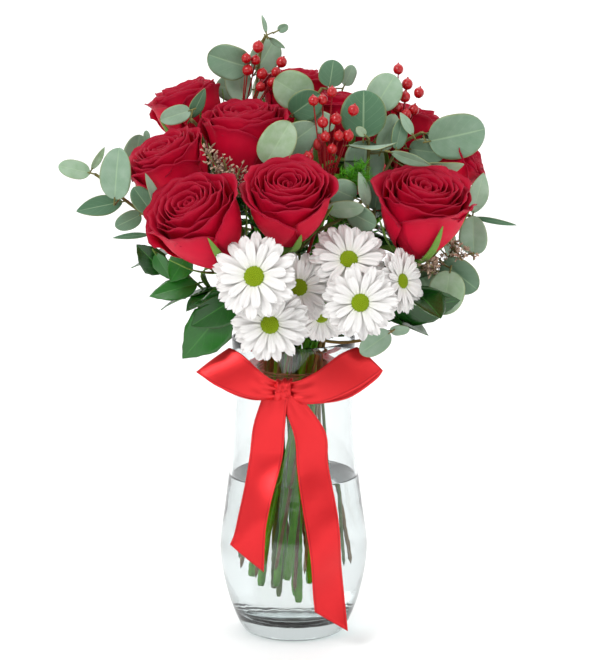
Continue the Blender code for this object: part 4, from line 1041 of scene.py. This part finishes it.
def limonium_sprig(node, mats, draw):
    """Dried limonium: crooked side twigs that carry small papery bracts."""
    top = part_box(node)[1].z
    skin = Skin()
    for spot, out in surface_points(node, top - 36 * MM, 150, draw):
        way = (out + UP * 0.6 + Vector([draw.uniform(-0.5, 0.5) for _ in range(3)])).normalized()
        length = draw.uniform(3, 8) * MM
        knee = spot + way * length * 0.5 + Vector([draw.uniform(-0.8, 0.8) for _ in range(3)]) * MM
        end = spot + way * length
        skin.rod([spot, knee, end], [0.3 * MM, 0.25 * MM, 0.2 * MM], 4, tone=0.15)
        for _bract in range(3):
            turn = (way + Vector([draw.uniform(-0.9, 0.9) for _ in range(3)])).normalized()
            size = draw.uniform(1.6, 3.4) * MM
            side = turn.orthogonal().normalized() * size * 0.28
            root = end - way * draw.uniform(0, 2.5) * MM
            tone = draw.uniform(0.45, 1.0)
            skin.sheet(lambda u, v: root + turn * size * v +
                       side * u * math.sin(math.pi * (0.15 + 0.80 * v)), 2, 4, tone)
    smooth_copy(frame_copy(node), node + "_twigs", [mats["twig"]], node, 1)
    add_piece(node + "_bracts", skin.mesh(node + "_bracts"), [mats["dried"]], node,
              BRACT_THICKNESS, offset=-1.0)


# ---------------------------------------------------------------- glass and water


def curve_through(points, steps):
    """A smooth curve through points of any dimension, a few steps between each two."""
    ends = [points[0] * 2 - points[1]] + points + [points[-1] * 2 - points[-2]]
    found = [points[0]]
    for p, a, b, n in zip(ends, ends[1:], ends[2:], ends[3:]):
        for i in range(1, steps + 1):
            t = i / steps
            s = 1.0 - t
            found.append(a * s**3 + (a + (b - p) / 6) * 3 * s * s * t
                         + (b - (n - a) / 6) * 3 * s * t * t + b * t**3)
    return found


def glass_rings():
    """The glass's outer and inner rings, from the foot or the floor up to the rim."""
    rings = {"outer": set(), "inner": set()}
    mesh = NODES["vase"].data
    for face in mesh.polygons:
        if abs(face.normal.z) > 0.97:
            continue
        out = Vector((face.center.x, face.center.y, 0)).dot(face.normal) > 0
        for i in face.vertices:
            spot = mesh.vertices[i].co
            ring = (round(math.hypot(spot.x, spot.y), 5), round(spot.z, 5))
            rings["outer" if out else "inner"].add(ring)
    found = []
    for key in ("outer", "inner"):
        levels = {}
        for radius, z in rings[key]:
            levels[z] = max(radius, levels.get(z, 0.0)) if key == "outer" else \
                min(radius, levels.get(z, 1.0))
        found.append([Vector((levels[z], z)) for z in sorted(levels)])
    return found


def inner_wall_radius(z):
    """The glass's smooth inside radius at a height."""
    line = curve_through(glass_rings()[1], 6)
    for a, b in zip(line, line[1:]):
        if a.y <= z <= b.y:
            return a.x + (b.x - a.x) * (z - a.y) / max(1e-9, b.y - a.y)
    return line[-1].x


def vase_glass(mats):
    """The blown glass: a rounded heel, walls that thin a little to the lip, a fire-polished
    rim and a thick floor."""
    outer, inner = glass_rings()
    outside = curve_through(outer, 6)
    inside = curve_through(inner, 6)
    foot, rim = outside[0], outside[-1]
    heel = [Vector((foot.x - 9 * MM, 1.2 * MM)), Vector((foot.x - 5.5 * MM, 0.35 * MM)),
            Vector((foot.x - 3.5 * MM, 0.0)), Vector((foot.x - 1.2 * MM, 0.1 * MM)),
            Vector((foot.x + 0.3 * MM, 0.8 * MM))]
    outside = [p for p in outside if p.y > 1.6 * MM]
    inside = [Vector((p.x + 0.9 * MM * max(0.0, 1 - (rim.y - p.y) / (9 * MM)) ** 0.7, p.y))
              for p in inside]
    half = (rim.x - inside[-1].x) / 2
    lip = [Vector((rim.x - half + half * math.cos(a), rim.y - half + half * math.sin(a)))
           for a in (math.radians(x) for x in range(20, 180, 20))]
    outside = [p for p in outside if p.y < rim.y - half]
    inside = [p for p in inside if p.y < rim.y - half]
    outline = [(0.4 * MM, 1.9 * MM)] + [(p.x, p.y) for p in heel + outside + lip]
    outline += [(p.x, p.y) for p in reversed(inside)]
    floor = inside[0]
    outline += [(floor.x * 0.6, floor.y - 0.3 * MM), (0.4 * MM, floor.y - 0.5 * MM)]
    skin = Skin()
    skin.turned(outline, 96)
    add_piece("vase_glass", skin.mesh("vase_glass"), [mats["glass"]], "vase")


def still_water(mats):
    """The water, a hair into the glass so that no film of air lies between them, with its
    edge drawn up the wall."""
    low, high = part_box("water")
    overlap = 0.12 * MM
    levels = [low.z - 0.5 * MM + (high.z - low.z) * (k / 30) ** 1.3 for k in range(31)]
    outline = [(0.4 * MM, low.z - 1.0 * MM)]
    outline += [(inner_wall_radius(z) + overlap, z) for z in levels]
    edge = inner_wall_radius(high.z)
    outline += [(edge + overlap, high.z + 0.9 * MM), (edge - 0.4 * MM, high.z + 0.5 * MM),
                (edge - 1.4 * MM, high.z + 0.12 * MM), (edge - 3 * MM, high.z),
                (0.4 * MM, high.z)]
    skin = Skin()
    skin.turned(outline, 96)
    add_piece("still_water_body", skin.mesh("still_water_body"), [mats["water"]],
              "water")


# ---------------------------------------------------------------- twine


def twine_tie(mats, draw):
    """Two-ply twine in several turns round the stems, a little uneven, its ends cut short."""
    low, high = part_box("twine_tie")
    reach = (high.x - low.x) / 2
    ply = 0.5 * MM
    skin = Skin()
    turns, steps = 3.2, 420
    for side in (0.0, math.pi):
        points = []
        for k in range(steps + 1):
            share = k / steps
            angle = share * turns * math.tau
            z = low.z + (high.z - low.z) * (0.12 + 0.76 * share)
            z += 0.9 * MM * math.sin(angle * 0.9 + 0.7)
            out = reach - 1.25 * MM + 0.35 * MM * math.sin(angle * 2.7)
            twist = angle * reach / (1.1 * MM) / 3 + side
            radius = out + ply * 0.85 * math.cos(twist)
            points.append(Vector((radius * math.cos(angle), radius * math.sin(angle),
                                  z + ply * 0.85 * math.sin(twist))))
        skin.rod(points, [ply] * len(points), 7)
    for _fibre in range(90):
        angle = draw.uniform(0, math.tau)
        spot = Vector((math.cos(angle), math.sin(angle), 0)) * (reach - 0.7 * MM)
        spot.z = draw.uniform(low.z, high.z)
        way = Vector([draw.uniform(-1, 1) for _ in range(3)]).normalized()
        way = (way + spot.normalized() * 0.4).normalized()
        skin.rod([spot, spot + way * 1.4 * MM], [0.06 * MM, 0.03 * MM], 3)
    add_piece("twine_turns", skin.mesh("twine_turns"), [mats["twine"]], "twine_tie")


# ---------------------------------------------------------------- ribbon


def knot_middle():
    """The middle of the frame's knot, from which the bow is set out."""
    low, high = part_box("ribbon_knot")
    return (low + high) / 2


def ribbon_sheet(name, node, edges, mats, steps, folds, sway):
    """A ribbon between its two edge curves, with a soft crown and pleats near the knot."""
    one, other = (curve_through([Vector(p) for p in edge], steps) for edge in edges)
    length = sum(((a - c) / 2 + (b - d) / 2).length
                 for a, b, c, d in zip(one, other, one[1:], other[1:]))
    count = len(one) - 1
    skin = Skin()
    quarter = count // 4
    ahead = one[quarter + 1] - one[quarter]
    front = 1 if (other[quarter] - one[quarter]).cross(ahead).dot(FRONT) > 0 else -1

    def place(u, v):
        k = v * count
        i = min(int(k), count - 1)
        a, b = one[i].lerp(one[i + 1], k - i), other[i].lerp(other[i + 1], k - i)
        ahead = (one[i + 1] + other[i + 1] - one[i] - other[i]).normalized()
        across = b - a
        out = across.cross(ahead).normalized() * front
        pinch = max(0.0, 1 - across.length / (24 * MM))
        crown = math.cos(u * math.pi / 2) * 0.6 * MM
        pleat = folds * pinch * math.sin(u * math.pi * 2.5) * MM
        ripple = sway * math.sin(v * length / (20 * MM) + 2.3 + 0.5 * u) * min(1.0, v * 3)
        roll = 0.35 * sway * u * math.sin(v * length / (15 * MM) + 1.2)
        return a.lerp(b, (u + 1) / 2) + out * (crown + pleat + ripple + roll)
    skin.sheet(place, 24, count, scale=length)
    made = add_piece(name, skin.mesh(name), [mats["ribbon"]], node,
                     RIBBON_THICKNESS)


def loop_edges(side):
    """A loop's lower and upper edges, out along its front, round its end and back behind, as
    millimetres from the knot's middle: sideways, back and up."""
    if side < 0:
        lower = [(-3, -1, -7), (-14, -6, -7), (-30, -9, -3), (-49, -8, 4), (-62, -4, 12),
                 (-66, 1, 14), (-60, 5, 9), (-42, 6, -3), (-24, 5, -9), (-4, 2, -8)]
        upper = [(-3, -1, 6), (-11, -6, 11), (-20, -9, 19), (-30, -6, 28), (-38, -1, 32),
                 (-41, 3, 32), (-37, 6, 28), (-25, 7, 17), (-14, 5, 9), (-4, 2, 4)]
    else:
        lower = [(3, -1, -7), (16, -6, -10), (34, -9, -7), (55, -8, 2), (71, -3, 12),
                 (76, 1, 15), (70, 5, 6), (50, 6, -8), (26, 5, -12), (4, 2, -8)]
        upper = [(3, -1, 6), (13, -6, 9), (27, -9, 17), (42, -6, 28), (52, -1, 32),
                 (56, 3, 32), (51, 6, 26), (34, 7, 12), (18, 5, 4), (4, 2, 3)]
    middle = knot_middle()
    return [[middle + Vector(p) * MM for p in edge] for edge in (lower, upper)]


def tail_edges(node, far, near, aside):
    """A tail's two edges, top to bottom, from the frame's strip. It is stiff, so lower down it
    leaves the glass and faces the front, and its end is cut slanting: far and near are how far
    its two corners go past the strip's end."""
    rows = {}
    for spot in welded_points(node):
        rows.setdefault(round(spot.z, 4), []).append(spot)
    left, right = [], []
    levels = sorted(rows, reverse=True)
    for k, z in enumerate(levels):
        row = rows[z]
        middle = sum(row, Vector()) / len(row)
        share = k / (len(levels) - 1)
        around = Vector((-middle.y, middle.x, 0)).normalized()
        across = around.lerp(Vector((1, 0, 0)), 0.75 * share).normalized() * RIBBON_WIDTH / 2
        middle += Vector((aside * share, -7.0 * MM * min(1.0, 2 * share), 0))
        left.append(middle - across)
        right.append(middle + across)
    left[-1] += Vector((0, 0, -far))
    right[-1] += Vector((0, 0, -near))
    return [left, right]


def ribbon(mats):
    """The whole bow: two loops, two tails, the band round the neck and the knot."""
    middle = knot_middle()
    for name, side in (("left", -1), ("right", 1)):
        ribbon_sheet(f"ribbon_loop_{name}_satin", f"ribbon_loop_{name}", loop_edges(side), mats,
                     8, 3.2, 0.8 * MM)
    tops = {"left": ((-15, 1, -3), (4, -3, -5)), "right": ((-3, -5, -3), (13, -2, -4))}
    for name, far, near, aside in (("left", -9 * MM, 14 * MM, 0.0),
                                   ("right", -2 * MM, 12 * MM, 2.5 * MM)):
        node = f"ribbon_tail_{name}"
        left, right = tail_edges(node, far, near, aside)
        left[0], right[0] = (middle + Vector(p) * MM for p in tops[name])
        ribbon_sheet(f"{node}_satin", node, [left, right], mats, 10, 2.0,
                     6.0 * MM)
    band(mats)
    knot(mats)


def band(mats):
    """The ribbon gathered round the neck: it runs round the glass in soft lengthwise folds."""
    low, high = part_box("ribbon_band")
    reach = (high.x - low.x) / 2
    skin = Skin()

    def place(u, v):
        angle = v * math.tau
        fold = 0.5 * MM * math.sin(u * 7 + 1.5 * math.sin(angle)) + 0.25 * MM * math.sin(angle * 5)
        radius = reach + 0.1 * MM + max(-0.3 * MM, fold)
        z = (low.z + high.z) / 2 + (high.z - low.z) * 0.5 * u + 0.4 * MM * math.sin(angle * 3 + u)
        return Vector((radius * math.sin(angle), -radius * math.cos(angle), z))
    length = math.tau * reach
    skin.sheet(place, 14, 120, scale=length)
    made = add_piece("ribbon_band_satin", skin.mesh("ribbon_band_satin"), [mats["ribbon"]],
                     "ribbon_band", RIBBON_THICKNESS)


def knot(mats):
    """The knot: the ribbon wrapped once over itself, swollen at its middle and pleated."""
    low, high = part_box("ribbon_knot")
    middle = (low + high) / 2
    half = (high - low) / 2
    skin = Skin()

    def place(u, v):
        angle = v * math.tau
        pleat = 1 + 0.10 * math.sin(u * 9 + 0.6 * math.sin(angle * 2)) - 0.10 * u * u
        swell = 0.92 * pleat
        return middle + Vector((half.x * 0.98 * u * (1 - 0.12 * math.cos(angle * 2)),
                                -half.y * swell * math.cos(angle),
                                half.z * swell * math.sin(angle) + 0.8 * MM * u))
    length = math.pi * (half.y + half.z)
    skin.sheet(place, 20, 40, scale=length)
    made = add_piece("ribbon_knot_satin", skin.mesh("ribbon_knot_satin"), [mats["ribbon"]],
                     "ribbon_knot", RIBBON_THICKNESS)


# ---------------------------------------------------------------- settings


class BouquetColours(bpy.types.PropertyGroup):
    """The bouquet's colours"""
    rose: FloatVectorProperty(name="Rose", description="Petal red in the light", size=3,
                              subtype="COLOR", default=linear("DE0234"))
    # Painted shade: the darker red that the outer petals are painted with.
    rose_painted_shade: FloatVectorProperty(name="Rose depth", description="Petal red in its depth",
                                   size=3, subtype="COLOR", default=linear("B80028"))
    rose_rim: FloatVectorProperty(name="Rose rim", description="Petal colour at the rim",
                                  size=3, subtype="COLOR", default=linear("6A0424"))
    daisy: FloatVectorProperty(name="Chrysanthemum", description="Ray petal white", size=3,
                               subtype="COLOR", default=linear("E6E4E2"))
    disc: FloatVectorProperty(name="Disc", description="Green of the disc", size=3,
                              subtype="COLOR", default=linear("6E8A02"))
    berry: FloatVectorProperty(name="Berry", description="Berry red", size=3,
                               subtype="COLOR", default=linear("AC0612"))
    ribbon: FloatVectorProperty(name="Ribbon", description="Satin red", size=3,
                                subtype="COLOR", default=linear("E4242C"))
    # Painted shade: the darker red painted in soft patches on the satin, standing in for the shade
    # in its folds.
    ribbon_painted_shade: FloatVectorProperty(name="Ribbon shade", description="Satin red in its folds",
                                      size=3, subtype="COLOR", default=linear("C01222"))


class BouquetSizes(bpy.types.PropertyGroup):
    """The bouquet's counts and sizes"""
    rose_petals: IntProperty(name="Rose petals", description="Petals of one rose", default=28,
                             min=12, max=60)
    petal_thickness: FloatProperty(name="Petal thickness", description="Of a rose petal",
                                   default=0.5 * MM, unit="LENGTH")
    ray_petals: IntProperty(name="Ray petals", description="Petals in a head's outer ring",
                            default=18, min=10, max=30)
    disc_florets: IntProperty(name="Disc florets", description="Buds in a head's disc",
                              default=110, min=20, max=300)
    seed: IntProperty(name="Seed", description="Which petals and leaves differ, and how",
                      default=7)


MATERIALS = {}


def materials():
    """The set of materials, made once from the colours in the panel."""
    if not MATERIALS:
        MATERIALS.update(set_of_materials(bpy.context.scene.bouquet_colours))
    return MATERIALS


def draws(name):
    """The random draws of one piece, the same at each run."""
    seed = bpy.context.scene.bouquet_sizes.seed
    return random.Random(seed * 1000 + sum(ord(c) * (k + 1) for k, c in enumerate(name)))


def named(start, end=""):
    """The frame's nodes whose names start and end so, in order."""
    return sorted(n for n in NODES if n.startswith(start) and n.endswith(end))


# ---------------------------------------------------------------- operators


class OBJECT_OT_bouquet_vase(bpy.types.Operator):
    """Blows the glass vase"""
    bl_idname = "object.bouquet_vase"
    bl_label = "Vase"

    def execute(self, context):
        vase_glass(materials())
        return {"FINISHED"}


class OBJECT_OT_bouquet_water(bpy.types.Operator):
    """Fills the vase with water"""
    bl_idname = "object.bouquet_water"
    bl_label = "Water"

    def execute(self, context):
        still_water(materials())
        return {"FINISHED"}


class OBJECT_OT_bouquet_ribbon(bpy.types.Operator):
    """Ties the satin bow round the neck"""
    bl_idname = "object.bouquet_ribbon"
    bl_label = "Ribbon"

    def execute(self, context):
        ribbon(materials())
        return {"FINISHED"}


class OBJECT_OT_bouquet_twine(bpy.types.Operator):
    """Ties the twine round the stems"""
    bl_idname = "object.bouquet_twine"
    bl_label = "Twine"

    def execute(self, context):
        twine_tie(materials(), draws("twine_tie"))
        return {"FINISHED"}


class OBJECT_OT_bouquet_roses(bpy.types.Operator):
    """Grows each rose's petals, sepals and stem"""
    bl_idname = "object.bouquet_roses"
    bl_label = "Roses"

    def execute(self, context):
        sizes = context.scene.bouquet_sizes
        for name in named("rose_", "_bloom"):
            base, diameter = rose_bloom(name, materials(), sizes, draws(name))
            stem = name.replace("_bloom", "_stem")
            rose_stem(stem, materials(), base, diameter, draws(stem))
            rose_foliage(stem, materials(), base, diameter, draws(stem + "_leaves"))
        return {"FINISHED"}


class OBJECT_OT_bouquet_chrysanthemums(bpy.types.Operator):
    """Grows the white heads and their branched stems"""
    bl_idname = "object.bouquet_chrysanthemums"
    bl_label = "Chrysanthemums"

    def execute(self, context):
        for name in named("chrysanthemum_", "_bloom"):
            daisy_bloom(name, materials(), context.scene.bouquet_sizes, draws(name))
        for name in named("chrysanthemum_stem"):
            smooth_copy(frame_copy(name), name + "_stalks", [materials()["daisy_stem"]],
                        name)
        return {"FINISHED"}


class OBJECT_OT_bouquet_berries(bpy.types.Operator):
    """Sets the berries on their stalks"""
    bl_idname = "object.bouquet_berries"
    bl_label = "Berries"

    def execute(self, context):
        for name in named("berry_sprig"):
            berry_sprig(name, materials(), draws(name))
        return {"FINISHED"}


class OBJECT_OT_bouquet_eucalyptus(bpy.types.Operator):
    """Cuts each leaf of the eucalyptus, on its twig"""
    bl_idname = "object.bouquet_eucalyptus"
    bl_label = "Eucalyptus"

    def execute(self, context):
        for name in named("eucalyptus_sprig"):
            sprig(name, materials(), "eucalyptus", "twig", draws(name))
        return {"FINISHED"}


class OBJECT_OT_bouquet_glossy_leaves(bpy.types.Operator):
    """Cuts each leaf of the glossy foliage, on its twig"""
    bl_idname = "object.bouquet_glossy_leaves"
    bl_label = "Glossy leaves"

    def execute(self, context):
        for name in named("glossy_leaf"):
            sprig(name, materials(), "glossy", "daisy_stem", draws(name),
                  pointed=True)
        return {"FINISHED"}


class OBJECT_OT_bouquet_fern(bpy.types.Operator):
    """Adds the fern's needles to its twigs"""
    bl_idname = "object.bouquet_fern"
    bl_label = "Fern"

    def execute(self, context):
        fern_sprig("fern_sprig", materials(), draws("fern_sprig"))
        return {"FINISHED"}


class OBJECT_OT_bouquet_limonium(bpy.types.Operator):
    """Adds the papery bracts to the dried twigs"""
    bl_idname = "object.bouquet_limonium"
    bl_label = "Dried limonium"

    def execute(self, context):
        for name in named("limonium_sprig"):
            limonium_sprig(name, materials(), draws(name))
        return {"FINISHED"}


class OBJECT_OT_bouquet_stage(bpy.types.Operator):
    """Sets the pale floor, the soft studio lights and the camera"""
    bl_idname = "object.bouquet_stage"
    bl_label = "Stage"

    def execute(self, context):
        scene = context.scene
        side = 12.0
        mesh = bpy.data.meshes.new("studio_floor")
        mesh.from_pydata([(-side, -side, 0), (side, -side, 0), (side, side, 0), (-side, side, 0)],
                         [], [(0, 1, 2, 3)])
        mesh.materials.append(materials()["paper"])
        floor = bpy.data.objects.new("studio_floor", mesh)
        scene.collection.objects.link(floor)
        head = (0, 0, 0.25)
        for name, place, target, size, power in (
                ("key", (-1.2, -1.6, 1.8), head, 0.9, 30.0),
                ("fill", (1.6, -1.2, 0.9), head, 1.2, 8.0),
                ("top", (0.2, 0.4, 1.9), head, 1.2, 8.0),
                ("background", (0.0, 4.2, 3.0), (0.0, 4.2, 0.0), 4.0, 60.0)):
            light = bpy.data.lights.new(name, "AREA")
            light.size = size
            light.energy = power
            lamp = bpy.data.objects.new(name, light)
            lamp.location = place
            aim = Vector(target) - Vector(place)
            lamp.rotation_euler = aim.to_track_quat("-Z", "Y").to_euler()
            scene.collection.objects.link(lamp)
        scene.world = studio_room()
        scene.view_settings.view_transform = "Standard"
        lens = bpy.data.cameras.new("camera")
        lens.lens = 172.8
        lens.sensor_width = 36.0
        camera = bpy.data.objects.new("camera", lens)
        camera.location = (0.005, -2.4, 0.73)
        aim = Vector((0.005, 0.0, 0.240)) - camera.location
        camera.rotation_euler = aim.to_track_quat("-Z", "Y").to_euler()
        scene.collection.objects.link(camera)
        scene.camera = camera
        return {"FINISHED"}


class VIEW3D_PT_bouquet(bpy.types.Panel):
    """Lists the pieces, their sizes and their colours"""
    bl_label = "Bouquet"
    bl_space_type = "VIEW_3D"
    bl_region_type = "UI"
    bl_category = "Bouquet"

    def draw(self, context):
        for group in (context.scene.bouquet_sizes, context.scene.bouquet_colours):
            for key in group.__annotations__:
                self.layout.prop(group, key)
        for operator in OPERATORS:
            self.layout.operator(operator.bl_idname)


OPERATORS = (OBJECT_OT_bouquet_vase, OBJECT_OT_bouquet_water, OBJECT_OT_bouquet_ribbon,
             OBJECT_OT_bouquet_twine, OBJECT_OT_bouquet_roses, OBJECT_OT_bouquet_chrysanthemums,
             OBJECT_OT_bouquet_berries, OBJECT_OT_bouquet_eucalyptus,
             OBJECT_OT_bouquet_glossy_leaves, OBJECT_OT_bouquet_fern,
             OBJECT_OT_bouquet_limonium, OBJECT_OT_bouquet_stage)
CLASSES = (BouquetColours, BouquetSizes, *OPERATORS, VIEW3D_PT_bouquet)


def register():
    for cls in CLASSES:
        bpy.utils.register_class(cls)
    bpy.types.Scene.bouquet_colours = PointerProperty(type=BouquetColours)
    bpy.types.Scene.bouquet_sizes = PointerProperty(type=BouquetSizes)


def unregister():
    del bpy.types.Scene.bouquet_sizes
    del bpy.types.Scene.bouquet_colours
    for cls in reversed(CLASSES):
        bpy.utils.unregister_class(cls)


def main():
    register()
    bpy.ops.object.bouquet_vase()
    bpy.ops.object.bouquet_water()
    bpy.ops.object.bouquet_ribbon()
    bpy.ops.object.bouquet_twine()
    bpy.ops.object.bouquet_roses()
    bpy.ops.object.bouquet_chrysanthemums()
    bpy.ops.object.bouquet_berries()
    bpy.ops.object.bouquet_eucalyptus()
    bpy.ops.object.bouquet_glossy_leaves()
    bpy.ops.object.bouquet_fern()
    bpy.ops.object.bouquet_limonium()
    bpy.ops.object.bouquet_stage()


if __name__ == "__main__":
    main()
